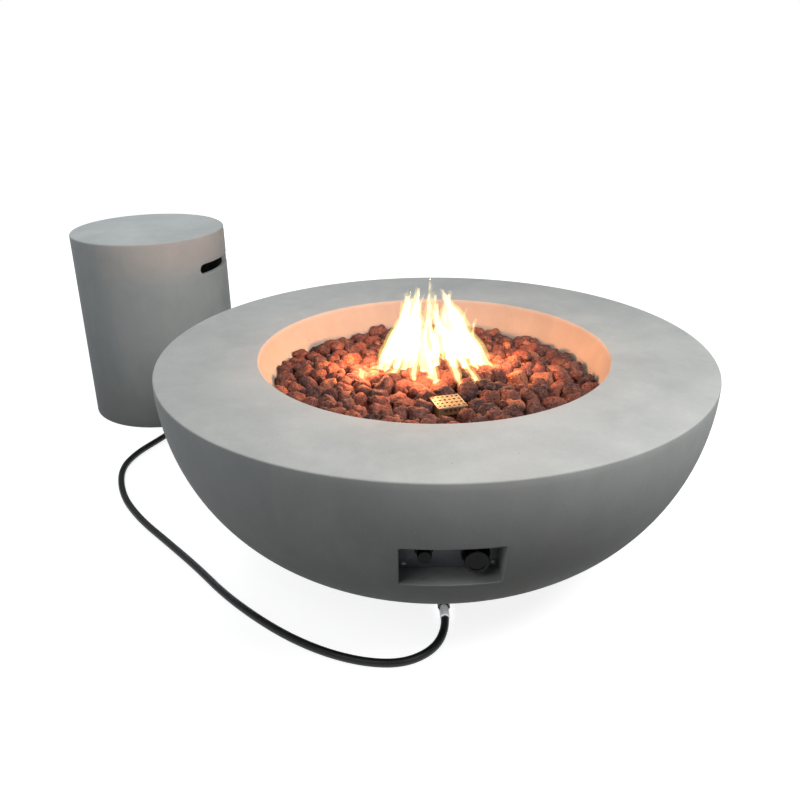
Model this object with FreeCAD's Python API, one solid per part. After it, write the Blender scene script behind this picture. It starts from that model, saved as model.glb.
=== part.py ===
import FreeCAD, Part
import math
import os
import random
from FreeCAD import Placement, Rotation, Vector

# A floor-standing gas fire bowl cast in glass-fibre concrete, with its lava rock bed, ring burner,
# controls, gas hose, and the gas cylinder that stands beside it under a concrete cover.
# Millimetres. The origin is on the ground under the bowl's axis, Z is up, and the controls face -Y.

X, Y, Z = Vector(1, 0, 0), Vector(0, 1, 0), Vector(0, 0, 1)

# Clearances
SEAT_GAP = 0.1        # between a screw, spigot or sleeve and the hole that it sits in
RUNNING_FIT = 0.05    # radial, for what turns or slides in a bore
MOVING_GAP = 1.0      # between a moving piece and a fixed one that it passes

# Bowl
RIM_R = 533.5
RIM_Z = 419.0
RIM_THICK = 22.0
RIM_ROUND = 3.0
SIDE_DROP = 380.0     # the side is a quarter ellipse this high, standing on the edge of the flat underside
UNDERSIDE_R = 200.0
SHELL_WALL = 15.0
FOOT_R = 185.0
FOOT_WALL = 30.0
BASE_HOLE_R = 110.0
HOSE_NOTCH_W = 44.0
HOSE_NOTCH_H = 28.0

# Well: the cone in the middle of the rim that holds the fire
WELL_R = 340.0
WELL_FOOT_R = 309.0
WELL_DEPTH = 86.0
WELL_WALL = 14.0
LEDGE_REACH = 27.0    # how far the ledge under the burner pan stands in from the well's foot
LEDGE_THICK = 12.0

# Control niche in the front of the bowl
NICHE_W = 160.0
NICHE_H = 90.0
NICHE_LOW_Z = 207.0
NICHE_DEPTH = 107.5   # from the widest part of the bowl in to the panel's rear face
NICHE_WALL = 12.0
NICHE_LIP = 13.0      # how far the seat reaches in from each side behind the panel

# Base vent plate
PLATE_R = 128.0
PLATE_THICK = 2.0
PLATE_SLOTS = 8
PLATE_SLOT_L = 44.0
PLATE_SLOT_W = 8.0

# Control panel
PANEL_THICK = 2.0
PANEL_GAP = 1.0
PANEL_SCREW_INSET = 14.0

# Burner pan, a drop-in steel tray
PAN_THICK = 1.5
PAN_DROP = 8.0
PAN_FLANGE = 22.0
PAN_HOLES = 12
PAN_HOLE_R = 7.0
PAN_HOLES_R = 215.0   # the circle that the air holes stand on

# Ring burner
RING_R = 102.0
RING_TUBE_R = 8.0
RING_LIFT = 4.0       # clear height under the ring
RING_PORTS = 24
RING_PORT_R = 1.6
HUB_R = 24.0
SPOKES = 4
SPOKE_R = 6.0
NIPPLE_R = 9.0
NIPPLE_LENGTH = 34.0
LOCKNUT_AF = 30.0
LOCKNUT_H = 12.0
MIXER_R = 14.0
MIXER_H = 38.0
MIXER_WALL = 3.0
MIXER_WINDOWS = 4
ELBOW_SIDE = 22.0

# Igniter guard, a perforated box over the spark electrode and the flame sensor
GUARD_X, GUARD_Y = 19.5, -142.4
GUARD_TURN = 14.7     # degrees about Z
GUARD_SIDE = 57.0
GUARD_TOP_Z = 371.0
GUARD_SHEET = 1.2
GUARD_COLUMNS, GUARD_ROWS = 6, 4
GUARD_HOLE_R = 2.6
GUARD_MOUTH_W = 42.0
GUARD_MOUTH_H = 30.0
PROBE_SPACING = 24.0  # electrode to flame sensor
CERAMIC_R = 3.5
SENSOR_R = 3.0
BRACKET_W, BRACKET_D, BRACKET_THICK = 44.0, 22.0, 2.0
BRACKET_LIFT = 8.0

# Knob, stem and gas valve
CONTROLS_Z = 244.0
KNOB_X = 41.0
KNOB_R = 23.0
KNOB_REACH = 42.0     # from the panel's front to the knob's face
KNOB_DEPTH = 28.0
KNOB_SKIRT = 4.0      # how thick the wide ring at the knob's back is
KNOB_ROUND = 1.5
KNOB_FLUTES = 12
KNOB_FLUTE_R = 3.6
POINTER_W, POINTER_DEPTH = 1.6, 1.0
KNOB_TRAVEL = 5.0
STEM_R = 4.0
STEM_FLAT = 2.6       # from the stem's axis to the flat that drives the knob
STEM_COLLAR_R = 5.8
STEM_COLLAR_H = 1.2
WASHER_R = 6.6
WASHER_THICK = 1.5
SPRING_WIRE = 1.1
SPRING_TURNS = 4
BONNET_R = 15.0
BONNET_LENGTH = 24.0
NECK_R = 8.0
NECK_LENGTH = 7.0
PANEL_NUT_AF = 22.0
PANEL_NUT_H = 4.0
VALVE_W, VALVE_L, VALVE_H = 34.0, 40.0, 32.0
SPIGOT_R = 6.5
SPIGOT_LENGTH = 14.0
FLARE_AF = 17.0
FLARE_H = 11.0

# Push-button igniter
IGNITER_X = -39.0
BUTTON_R = 12.5
BUTTON_TAPER = 1.2
BUTTON_REACH = 27.0   # from the panel's front to the button's face
BUTTON_DEPTH = 18.0
BUTTON_TRAVEL = 4.0
BUTTON_STEM_R = 6.0
BUTTON_STEM_L = 26.0
IGNITER_R = 10.9
IGNITER_LENGTH = 56.0
IGNITER_BEZEL_R = 15.0
IGNITER_BEZEL_H = 3.0
IGNITER_NUT_AF = 27.0
IGNITER_NUT_H = 6.0
BATTERY_R = 5.2

# Pipes, leads and hose
PIPE_R = 5.0
PIPE_X = 6.0
PIPE_RISE_Y = -80.0
PIPE_CRUISE_Z = 150.0
PIPE_BEND = 22.0
SUPPLY_R = 5.0
LEAD_R = 1.5
LEAD_RUN_OUT = 60.0   # how far a lead or tube runs straight out of the controls
LEAD_DROP = 50.0      # how far a lead hangs under its probe before it turns
LEAD_BEND = 22.0
HOSE_R = 7.5
FERRULE_R = 8.7
FERRULE_L = 20.0
SWIVEL_AF = 20.0
SWIVEL_L = 16.0
FITTING_Z = 12.0      # height of the hose fitting that lies on the ground
FITTING_REACH = 76.0  # how far in front of the foot ring the pipe ends

# Gas cylinder and its cover
TANK_X, TANK_Y = -737.0, 758.0
COVER_R = 203.0
COVER_H = 508.0
COVER_WALL = 14.0
COVER_TOP = 16.0
COVER_ROUND = 4.0
GRIP_TURN = -11.0     # degrees about Z, of the hand slot's middle
GRIP_L, GRIP_H = 184.0, 27.0
GRIP_DROP = 88.0      # from the cover's top to the middle of its hand slots
COVER_NOTCH_TURN = -62.0
COVER_NOTCH_W, COVER_NOTCH_H = 62.0, 32.0
CYLINDER_R = 152.5
CYLINDER_WALL = 3.0
CYLINDER_LOW_Z = 24.0
CYLINDER_HEAD = 68.0  # height of each domed end
NECK_BOSS_R = 22.0
NECK_BOSS_H = 12.0
FOOT_RING_R = 104.0
FOOT_RING_H = 46.0
COLLAR_R = 108.0
COLLAR_H = 124.0      # from the vessel's crown to the collar's top
COLLAR_HEADROOM = 40.0  # from the collar's top to the cover's ceiling
COLLAR_SHEET = 2.5
COLLAR_BEAD_R = 4.0
COLLAR_MOUTH = 100.0  # degrees left open for the valve's outlet
COLLAR_MOUTH_LIFT = 16.0  # from the vessel's crown to the lower edge of that mouth
HAND_HOLE_W, HAND_HOLE_H = 76.0, 30.0
HAND_HOLE_DROP = 34.0     # from the collar's top to the hand holes' middle
HAND_HOLE_ROUND = 12.0
OUTLET_TURN = 165.0   # degrees about Z, where the valve's outlet points
OUTLET_LIFT = 57.0    # from the vessel's crown to the outlet's axis
TANK_VALVE_R = 15.0
OUTLET_R = 14.0
OUTLET_REACH = 40.0
OUTLET_BORE = 14.0    # depth of the outlet's bore for the regulator's nipple
VALVE_NECK_H = 22.0   # from the outlet's axis to the top of the valve
WHEEL_R = 27.0
WHEEL_H = 15.0
WHEEL_LIFT = 4.0
WHEEL_LOBES = 8
WHEEL_LOBE_R = 8.0    # of the hollow between two lobes
SPINDLE_R = 4.5
SPINDLE_DEPTH = 14.0  # of its bore in the valve
COUPLING_R = 24.0
COUPLING_L = 36.0
COUPLING_RIBS = 16
COUPLING_RIB_R = 2.6  # of the groove between two ribs
COUPLING_CHAMFER = 2.5
COUPLING_LAP = 16.0   # how far the coupling reaches past the end of the outlet
INLET_NIPPLE_R = 7.0
REGULATOR_R = 30.0
REGULATOR_H = 26.0
REGULATOR_REACH = 118.0  # from the cylinder's axis to the middle of the regulator
REGULATOR_CAP_R = 13.0
REGULATOR_CAP_H = 7.0
REGULATOR_CAP_ROUND = 2.0
REGULATOR_SPOUT = 2.0    # how far the outlet spigot stands out of the housing

# Lava rocks
ROCK_PITCH = 36.0
ROCK_GAP = 0.8
ROCK_NEAREST = 0.8      # two middles are at least this share of the pitch apart
ROCK_JITTER = 0.2       # how far a middle lies above or below the bed's, as a share of the pitch
ROCK_DRAWS = 6000       # places tried, enough to leave no room for one more rock
ROCK_TOP_Z = 374.0
ROCK_BACK_FALL = 4.0    # the bed lies this much lower at the back
ROCK_HEAP = 8.0          # and this much higher over the burner
ROCK_MOUTH_FALL = 12.0   # and this much lower in front of the guard's mouth
ROCK_CUTS = 6
ROCK_WALL_GAP = 3.5     # from the well's wall, so that flat facets clear its curve
ROCK_MOULD = random.Random(11)
GOLDEN_TURN = 137.5     # degrees from one cut to the next, so that no two line up

# Heights and places that follow from the sizes above
UNDERSIDE_Z = RIM_Z - SIDE_DROP
LEDGE_Z = RIM_Z - WELL_DEPTH
LEDGE_R = WELL_FOOT_R - LEDGE_REACH
PAN_FLOOR_Z = LEDGE_Z - PAN_DROP + PAN_THICK
BURNER_Z = PAN_FLOOR_Z + RING_LIFT + RING_TUBE_R
BURNER_TOP_Z = BURNER_Z + RING_TUBE_R
NICHE_MID_Z = NICHE_LOW_Z + NICHE_H / 2
PANEL_REAR_Y = NICHE_DEPTH - RIM_R
PANEL_FRONT_Y = PANEL_REAR_Y - PANEL_THICK
KNOB_BACK_Y = PANEL_FRONT_Y - KNOB_REACH + KNOB_DEPTH
BUTTON_BACK_Y = PANEL_FRONT_Y - BUTTON_REACH + BUTTON_DEPTH
NECK_TIP_Y = PANEL_REAR_Y - NECK_LENGTH
VALVE_FRONT_Y = PANEL_REAR_Y + BONNET_LENGTH
VALVE_REAR_Y = VALVE_FRONT_Y + VALVE_L
MIXER_TOP_Z = PAN_FLOOR_Z + RING_LIFT - NIPPLE_LENGTH
ELBOW_Z = MIXER_TOP_Z - MIXER_H - ELBOW_SIDE / 2
ELBOW_TIP_Y = -ELBOW_SIDE / 2 - SPIGOT_LENGTH
FITTING_TIP_Y = -(FOOT_R + FITTING_REACH)
COLLAR_TOP_Z = COVER_H - COVER_TOP - COLLAR_HEADROOM
CYLINDER_TOP_Z = COLLAR_TOP_Z - COLLAR_H
OUTLET_Z = CYLINDER_TOP_Z + OUTLET_LIFT
VALVE_TOP_Z = OUTLET_Z + VALVE_NECK_H
WHEEL_LOW_Z = VALVE_TOP_Z + WHEEL_LIFT
TANK = Vector(TANK_X, TANK_Y, 0)
GUARD = Vector(GUARD_X, GUARD_Y, 0)

nodes = {}


def turn_z(vector, degrees):
    """The vector turned about Z."""
    return Rotation(Z, degrees).multVec(vector)


def rod(radius, base, end):
    return Part.makeCylinder(radius, (end - base).Length, base, end - base)


def tube(outer, inner, base, end):
    return rod(outer, base, end).cut(rod(inner, base, end))


def line(r0, z0, r1, z1):
    return Part.makeLine(Vector(r0, 0, z0), Vector(r1, 0, z1))


def polyline(points):
    """Straight outline edges in the XZ plane, through (radius, height) pairs."""
    return [line(*a, *b) for a, b in zip(points, points[1:])]


def revolved(edges):
    """The closed outline in the XZ plane, turned about Z into a solid."""
    wire = Part.Wire(Part.__sortEdges__(edges))
    return Part.Face(wire).revolve(Vector(0, 0, 0), Z, 360)


def turned(points):
    return revolved(polyline(points + points[:1]))


def along(shape, base, axis):
    """The shape with its own Z laid along the axis and its origin at the base."""
    shape.Placement = Placement(base, Rotation(Z, axis)) * shape.Placement
    return shape


def block(width, depth, height, centre):
    return Part.makeBox(width, depth, height, centre - Vector(width, depth, height) / 2)


def hex_nut(across_flats, height, bore, base, axis):
    """A hexagonal nut standing on its base point."""
    corner = across_flats / math.sqrt(3)
    ring = [Vector(corner * math.cos(k * math.pi / 3), corner * math.sin(k * math.pi / 3), 0)
            for k in range(6)]
    solid = Part.Face(Part.makePolygon(ring + ring[:1])).extrude(Z * height)
    return along(solid.cut(rod(bore, -Z, Z * (height + 1))), base, axis)


def screw(shank_r, shank_length, head_r, head_h, base, axis):
    """A pan-head screw. The base is under the head, and the axis points out of the head."""
    profile = [(0, -shank_length), (shank_r, -shank_length), (shank_r, 0), (head_r, 0),
               (head_r, head_h * 0.55), (head_r * 0.6, head_h), (0, head_h)]
    return along(turned(profile), base, axis)


def around(count, radius, height=0.0, start=0.0):
    """Evenly spaced points on a circle about Z."""
    return [Vector(radius * math.cos(math.radians(start + 360 * k / count)),
                   radius * math.sin(math.radians(start + 360 * k / count)), height)
            for k in range(count)]


def ellipse_arc(centre, one, other, start, end):
    """Part of the ellipse whose two semi-axes end at one and other, the short way from start to end."""
    major, minor = sorted((one, other), key=lambda p: -(p - centre).Length)
    ellipse = Part.Ellipse(major, minor, centre)
    first, last = sorted((ellipse.parameter(start), ellipse.parameter(end)))
    if last - first > math.pi:
        first, last = last, first + 2 * math.pi
    return Part.ArcOfEllipse(ellipse, first, last).toShape()


def bent_path(points, bend=None):
    """Straight runs joined by tangent arcs, of one bend radius or as large as the runs allow."""
    edges = []
    radii = []
    start = points[0]
    for before, corner, after in zip(points, points[1:], points[2:]):
        back = before - corner
        ahead = after - corner
        shorter = min(back.Length, ahead.Length)
        back.normalize()
        ahead.normalize()
        half_turn = (math.pi - back.getAngle(ahead)) / 2
        radius = bend or 0.45 * shorter / math.tan(half_turn)
        setback = radius * math.tan(half_turn)
        middle = back + ahead
        middle.normalize()
        crown = corner + middle * (radius / math.cos(half_turn) - radius)
        edges.append(Part.LineSegment(start, corner + back * setback).toShape())
        edges.append(Part.Arc(corner + back * setback, crown, corner + ahead * setback).toShape())
        radii.append(radius)
        start = corner + ahead * setback
    edges.append(Part.LineSegment(start, points[-1]).toShape())
    return Part.Wire(edges), radii


def swept(wire, radius):
    """A round bar that follows the wire."""
    first = wire.Edges[0]
    start = first.FirstParameter
    circle = Part.makeCircle(radius, first.valueAt(start), first.tangentAt(start))
    return wire.makePipeShell([Part.Wire(circle)], True, True)


def coil_spring(mean_r, free_length, base, axis):
    """A helical compression spring between two planes, with six-sided wire."""
    wire_r = SPRING_WIRE / 2
    pitch = (free_length - SPRING_WIRE - 2 * SEAT_GAP) / SPRING_TURNS
    helix = Part.makeHelix(pitch, pitch * SPRING_TURNS, mean_r)
    ring = [Vector(mean_r + wire_r * math.cos(k * math.pi / 3), 0, wire_r * math.sin(k * math.pi / 3))
            for k in range(6)]
    section = Part.makePolygon(ring + ring[:1])
    coil = Part.Wire(helix.Edges).makePipeShell([section], True, True)
    coil.translate(Z * (wire_r + SEAT_GAP))
    return along(coil, base, axis)


# ---------------------------------------------------------------------------------------------
# Bowl: one casting with rim, elliptical side, recessed foot ring, well and control niche
# ---------------------------------------------------------------------------------------------

def side_arc(reach, drop, top_z):
    """The elliptical side, from the edge of the flat underside up to top_z."""
    centre = Vector(UNDERSIDE_R, 0, RIM_Z)
    low = centre - Z * drop
    wide = centre + X * reach
    top = centre + X * (reach * math.sqrt(1 - ((RIM_Z - top_z) / drop) ** 2)) - Z * (RIM_Z - top_z)
    return ellipse_arc(centre, low, wide, low, top), top.x


def bowl_envelope():
    side, _ = side_arc(RIM_R - UNDERSIDE_R, SIDE_DROP, RIM_Z)
    flat = polyline([(UNDERSIDE_R, UNDERSIDE_Z), (0, UNDERSIDE_Z), (0, RIM_Z), (RIM_R, RIM_Z)])
    return revolved([side] + flat)


def well_radius(height):
    """The well's radius at a height above the ground."""
    return WELL_FOOT_R + (WELL_R - WELL_FOOT_R) * (height - LEDGE_Z) / WELL_DEPTH


def bowl_shell():
    under_rim_z = RIM_Z - RIM_THICK
    inner_floor_z = UNDERSIDE_Z + SHELL_WALL
    outer, _ = side_arc(RIM_R - UNDERSIDE_R, SIDE_DROP, RIM_Z)
    inner, inner_top_r = side_arc(RIM_R - UNDERSIDE_R - SHELL_WALL, SIDE_DROP - SHELL_WALL, under_rim_z)
    foot_inner_r = FOOT_R - FOOT_WALL
    ledge_low_z = LEDGE_Z - LEDGE_THICK
    below = polyline([(UNDERSIDE_R, UNDERSIDE_Z), (FOOT_R, UNDERSIDE_Z), (FOOT_R, 0), (foot_inner_r, 0),
                      (foot_inner_r, UNDERSIDE_Z), (BASE_HOLE_R, UNDERSIDE_Z), (BASE_HOLE_R, inner_floor_z),
                      (UNDERSIDE_R, inner_floor_z)])
    above = polyline([(inner_top_r, under_rim_z), (well_radius(under_rim_z) + WELL_WALL, under_rim_z),
                      (WELL_FOOT_R + WELL_WALL, ledge_low_z), (LEDGE_R, ledge_low_z), (LEDGE_R, LEDGE_Z),
                      (WELL_FOOT_R, LEDGE_Z), (WELL_R, RIM_Z), (RIM_R, RIM_Z)])
    shell = revolved([outer, inner] + below + above)
    rim_edges = [e for e in shell.Edges if len(e.Vertexes) == 1 and abs(e.Vertexes[0].Z - RIM_Z) < 0.01]
    shell = shell.makeFillet(RIM_ROUND, rim_edges)

    niche_outer = block(NICHE_W + 2 * NICHE_WALL, RIM_R, NICHE_H + 2 * NICHE_WALL,
                        Vector(0, PANEL_REAR_Y + NICHE_WALL - RIM_R / 2, NICHE_MID_Z))
    niche_inner = block(NICHE_W, RIM_R, NICHE_H, Vector(0, PANEL_REAR_Y - RIM_R / 2, NICHE_MID_Z))
    window = block(NICHE_W - 2 * NICHE_LIP, RIM_R, NICHE_H - 2 * NICHE_LIP,
                   Vector(0, PANEL_REAR_Y, NICHE_MID_Z))
    window = window.common(niche_outer)
    shell = shell.fuse(niche_outer.common(bowl_envelope())).cut(niche_inner).cut(window)

    for place in panel_screw_places():
        shell = shell.cut(rod(SCREW_R + SEAT_GAP, place, place + Y * (SCREW_L + SEAT_GAP)))
    for place in plate_screw_places():
        shell = shell.cut(rod(SCREW_R + SEAT_GAP, place, place + Z * (SCREW_L + SEAT_GAP)))
    notch = block(HOSE_NOTCH_W, FOOT_WALL * 2, HOSE_NOTCH_H,
                  Vector(PIPE_X, -(FOOT_R - FOOT_WALL / 2), HOSE_NOTCH_H / 2))
    return shell.cut(notch).removeSplitter()


# Screws that hold the panel and the base plate to the casting
SCREW_R = 2.4
SCREW_L = 9.0
SCREW_HEAD_R = 4.6
SCREW_HEAD_H = 2.8


def panel_screw_places():
    """Where the panel's rear face meets its four screws."""
    half_w = NICHE_W / 2 - PANEL_SCREW_INSET / 2 - PANEL_GAP
    half_h = NICHE_H / 2 - PANEL_SCREW_INSET / 2 - PANEL_GAP
    return [Vector(sx * half_w, PANEL_REAR_Y, NICHE_MID_Z + sz * half_h) for sx in (-1, 1) for sz in (-1, 1)]


def plate_screw_places():
    """Where the base plate's top face meets its four screws."""
    return around(4, (PLATE_R + BASE_HOLE_R) / 2, UNDERSIDE_Z, 45)


def base_vent_plate():
    low = UNDERSIDE_Z - PLATE_THICK
    plate = rod(PLATE_R, Z * low, Z * UNDERSIDE_Z)
    slot_mid_r = BASE_HOLE_R * 0.55
    for k in range(PLATE_SLOTS):
        turn = 360 * (k + 0.5) / PLATE_SLOTS
        slot = block(PLATE_SLOT_L, PLATE_SLOT_W, 4 * PLATE_THICK, Vector(slot_mid_r, 0, UNDERSIDE_Z))
        slot.rotate(Vector(0, 0, 0), Z, turn)
        plate = plate.cut(slot)
    for place in plate_screw_places():
        plate = plate.cut(rod(SCREW_R + SEAT_GAP, place - Z * 2 * PLATE_THICK, place + Z))
    riser = Vector(PIPE_X, PIPE_RISE_Y, low)
    return plate.cut(rod(PIPE_R + MOVING_GAP, riser - Z, riser + Z * 2 * PLATE_THICK))


def control_panel():
    panel = block(NICHE_W - 2 * PANEL_GAP, PANEL_THICK, NICHE_H - 2 * PANEL_GAP,
                  Vector(0, PANEL_REAR_Y - PANEL_THICK / 2, NICHE_MID_Z))
    panel = panel.makeFillet(PANEL_THICK * 2, [e for e in panel.Edges if abs(e.tangentAt(0).y) > 0.99])
    holes = [(Vector(KNOB_X, 0, CONTROLS_Z), NECK_R), (Vector(IGNITER_X, 0, CONTROLS_Z), IGNITER_R)]
    holes += [(Vector(p.x, 0, p.z), SCREW_R) for p in panel_screw_places()]
    for middle, radius in holes:
        panel = panel.cut(rod(radius + SEAT_GAP, middle - Y * RIM_R, middle))
    return panel


def bowl_nodes():
    nodes["bowl_shell"] = bowl_shell()
    nodes["base_vent_plate"] = base_vent_plate()
    nodes["base_plate_screws"] = Part.makeCompound(
        [screw(SCREW_R, SCREW_L + PLATE_THICK, SCREW_HEAD_R, SCREW_HEAD_H, p - Z * PLATE_THICK, -Z)
         for p in plate_screw_places()])
    nodes["control_panel"] = control_panel()
    nodes["panel_screws"] = Part.makeCompound(
        [screw(SCREW_R, SCREW_L + PANEL_THICK, SCREW_HEAD_R, SCREW_HEAD_H, p - Y * PANEL_THICK, -Y)
         for p in panel_screw_places()])


# ---------------------------------------------------------------------------------------------
# Fire: pan, ring burner with its mixer, igniter guard with electrode and flame sensor
# ---------------------------------------------------------------------------------------------

def probe_places():
    """The electrode's and the flame sensor's axes, on the pan floor."""
    offset = turn_z(X * (PROBE_SPACING / 2), GUARD_TURN)
    return [GUARD - offset + Z * PAN_FLOOR_Z, GUARD + offset + Z * PAN_FLOOR_Z]


def burner_pan():
    """A shallow tray whose rim rests on the ledge of the well."""
    wall_r = LEDGE_R - MOVING_GAP
    flange_z = LEDGE_Z + PAN_THICK
    low_z = PAN_FLOOR_Z - PAN_THICK
    pan = turned([(0, low_z), (wall_r, low_z), (wall_r, LEDGE_Z), (wall_r + PAN_FLANGE, LEDGE_Z),
                  (wall_r + PAN_FLANGE, flange_z), (wall_r - PAN_THICK, flange_z),
                  (wall_r - PAN_THICK, PAN_FLOOR_Z), (0, PAN_FLOOR_Z)])
    holes = [(p, PAN_HOLE_R) for p in around(PAN_HOLES, PAN_HOLES_R, low_z, 15)]
    holes.append((Z * low_z, NIPPLE_R + SEAT_GAP))
    holes += [(p, CERAMIC_R + MOVING_GAP) for p in probe_places()]
    for middle, radius in holes:
        pan = pan.cut(rod(radius, middle - Z * PAN_THICK * 2, middle + Z * PAN_THICK * 3))
    return pan


def burner_ring():
    """Ring, spokes and hub welded in one, drilled with ports along the top, on a threaded nipple."""
    ring = Part.makeTorus(RING_R, RING_TUBE_R, Z * BURNER_Z, Z)
    hub = rod(HUB_R, Z * (PAN_FLOOR_Z + RING_LIFT), Z * BURNER_TOP_Z)
    hub = hub.makeFillet(RING_TUBE_R / 2, [hub.Edges[0]])
    burner = ring.fuse(hub)
    for p in around(SPOKES, RING_R, BURNER_Z, 45):
        burner = burner.fuse(rod(SPOKE_R, Z * BURNER_Z, p))
    nipple_low = Z * MIXER_TOP_Z
    burner = burner.fuse(rod(NIPPLE_R, nipple_low, Z * BURNER_Z))
    for p in around(RING_PORTS, RING_R, BURNER_Z):
        burner = burner.cut(rod(RING_PORT_R, p + Z * RING_TUBE_R / 2, p + Z * RING_TUBE_R * 2))
    legs = [rod(SPOKE_R, Vector(p.x, p.y, PAN_FLOOR_Z), p) for p in around(SPOKES, RING_R, BURNER_Z, 45)]
    for leg in legs:
        burner = burner.fuse(leg)
    bore_r = NIPPLE_R - MIXER_WALL
    return burner.cut(rod(bore_r, nipple_low - Z, Z * BURNER_Z))


def air_mixer():
    """A sleeve with air windows round the gas jet, under the burner's nipple."""
    top = Z * MIXER_TOP_Z
    low = Z * (MIXER_TOP_Z - MIXER_H)
    mixer = rod(MIXER_R, low, top).cut(rod(NIPPLE_R - MIXER_WALL, low + Z * MIXER_WALL, top + Z))
    for k in range(MIXER_WINDOWS // 2):
        window = block(4 * MIXER_R, MIXER_R, MIXER_H / 2, Z * (MIXER_TOP_Z - MIXER_H / 2))
        window.rotate(Vector(0, 0, 0), Z, 45 + 180 * k / (MIXER_WINDOWS // 2))
        mixer = mixer.cut(window)
    return mixer


def orifice_elbow():
    """The brass elbow that carries the mixer and turns the supply tube's gas upwards."""
    body = block(ELBOW_SIDE, ELBOW_SIDE, ELBOW_SIDE, Z * ELBOW_Z)
    body = body.makeFillet(ELBOW_SIDE / 6, [e for e in body.Edges if abs(e.tangentAt(0).x) > 0.99])
    return body.fuse(rod(SPIGOT_R, Vector(0, -ELBOW_SIDE / 4, ELBOW_Z), Vector(0, ELBOW_TIP_Y, ELBOW_Z)))


def igniter_guard():
    """A perforated box, open below, with a mouth cut in its front."""
    height = GUARD_TOP_Z - PAN_FLOOR_Z
    guard = block(GUARD_SIDE, GUARD_SIDE, height, Z * (PAN_FLOOR_Z + height / 2))
    guard = guard.makeFillet(2 * GUARD_SHEET, [e for e in guard.Edges if abs(e.tangentAt(0).z) > 0.99])
    inside = GUARD_SIDE - 2 * GUARD_SHEET
    guard = guard.cut(block(inside, inside, height, Z * (PAN_FLOOR_Z + height / 2 - GUARD_SHEET)))
    pitch_x = inside / GUARD_COLUMNS
    pitch_y = inside / GUARD_ROWS
    for column in range(GUARD_COLUMNS):
        x = (column - (GUARD_COLUMNS - 1) / 2) * pitch_x
        for row in range(GUARD_ROWS):
            y = (row - (GUARD_ROWS - 1) / 2) * pitch_y
            guard = guard.cut(rod(GUARD_HOLE_R, Vector(x, y, GUARD_TOP_Z - height / 2),
                                  Vector(x, y, GUARD_TOP_Z + 1)))
        front = Vector(x, -GUARD_SIDE, GUARD_TOP_Z - 2.5 * GUARD_HOLE_R)
        guard = guard.cut(rod(GUARD_HOLE_R, front, front + Y * GUARD_SIDE))
    mouth = block(GUARD_MOUTH_W, GUARD_SIDE, GUARD_MOUTH_H,
                  Vector(0, -GUARD_SIDE / 2, PAN_FLOOR_Z + GUARD_MOUTH_H / 2))
    guard = guard.cut(mouth)
    guard.Placement = Placement(GUARD, Rotation(Z, GUARD_TURN))
    return guard


def sensor_bracket():
    """A small table on the pan floor that holds the electrode and the flame sensor upright."""
    top_z = PAN_FLOOR_Z + BRACKET_LIFT
    bracket = block(BRACKET_W, BRACKET_D, BRACKET_THICK, Z * (top_z - BRACKET_THICK / 2))
    for side in (-1, 1):
        leg_middle = Vector(side * (BRACKET_W - BRACKET_THICK) / 2, 0, top_z - BRACKET_LIFT / 2)
        bracket = bracket.fuse(block(BRACKET_THICK, BRACKET_D, BRACKET_LIFT, leg_middle))
    for side, radius in ((-1, CERAMIC_R), (1, SENSOR_R)):
        hole = Vector(side * PROBE_SPACING / 2, 0, PAN_FLOOR_Z)
        bracket = bracket.cut(rod(radius + SEAT_GAP, hole, hole + Z * 2 * BRACKET_LIFT))
    bracket.Placement = Placement(GUARD, Rotation(Z, GUARD_TURN))
    return bracket


PROBE_LOW = 12.0      # how far the probes reach below the pan floor
CERAMIC_TOP = 26.0    # and above it
SENSOR_TOP = 34.0
SPARK_WIRE_L = 9.0    # each leg of the bent wire on the electrode


def fire_nodes():
    electrode, sensor = probe_places()
    nodes["burner_pan"] = burner_pan()
    nodes["burner_ring"] = burner_ring()
    locknut_top = Z * (PAN_FLOOR_Z - PAN_THICK)
    nodes["burner_locknut"] = hex_nut(LOCKNUT_AF, LOCKNUT_H, NIPPLE_R + SEAT_GAP, locknut_top, -Z)
    nodes["air_mixer"] = air_mixer()
    nodes["orifice_elbow"] = orifice_elbow()
    nodes["igniter_guard"] = igniter_guard()
    nodes["sensor_bracket"] = sensor_bracket()
    ceramic = rod(CERAMIC_R, electrode - Z * PROBE_LOW, electrode + Z * CERAMIC_TOP)
    collar = electrode + Z * BRACKET_LIFT
    nodes["electrode_ceramic"] = ceramic.fuse(rod(CERAMIC_R * 1.5, collar, collar + Z * CERAMIC_R))
    foot = electrode + Z * CERAMIC_TOP
    corner = foot + Z * SPARK_WIRE_L
    spark_path, _ = bent_path([foot, corner, corner + turn_z(X * SPARK_WIRE_L, GUARD_TURN)], SPARK_WIRE_L / 3)
    nodes["electrode_wire"] = swept(spark_path, CERAMIC_R / 3)
    sheath = rod(SENSOR_R, sensor - Z * PROBE_LOW, sensor + Z * SENSOR_TOP)
    nodes["thermocouple"] = sheath.makeFillet(SENSOR_R * 0.8, [sheath.Edges[0]])


# ---------------------------------------------------------------------------------------------
# Lava rocks: convex lumps that share the bed between them, each cut back from its neighbours
# ---------------------------------------------------------------------------------------------

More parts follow.
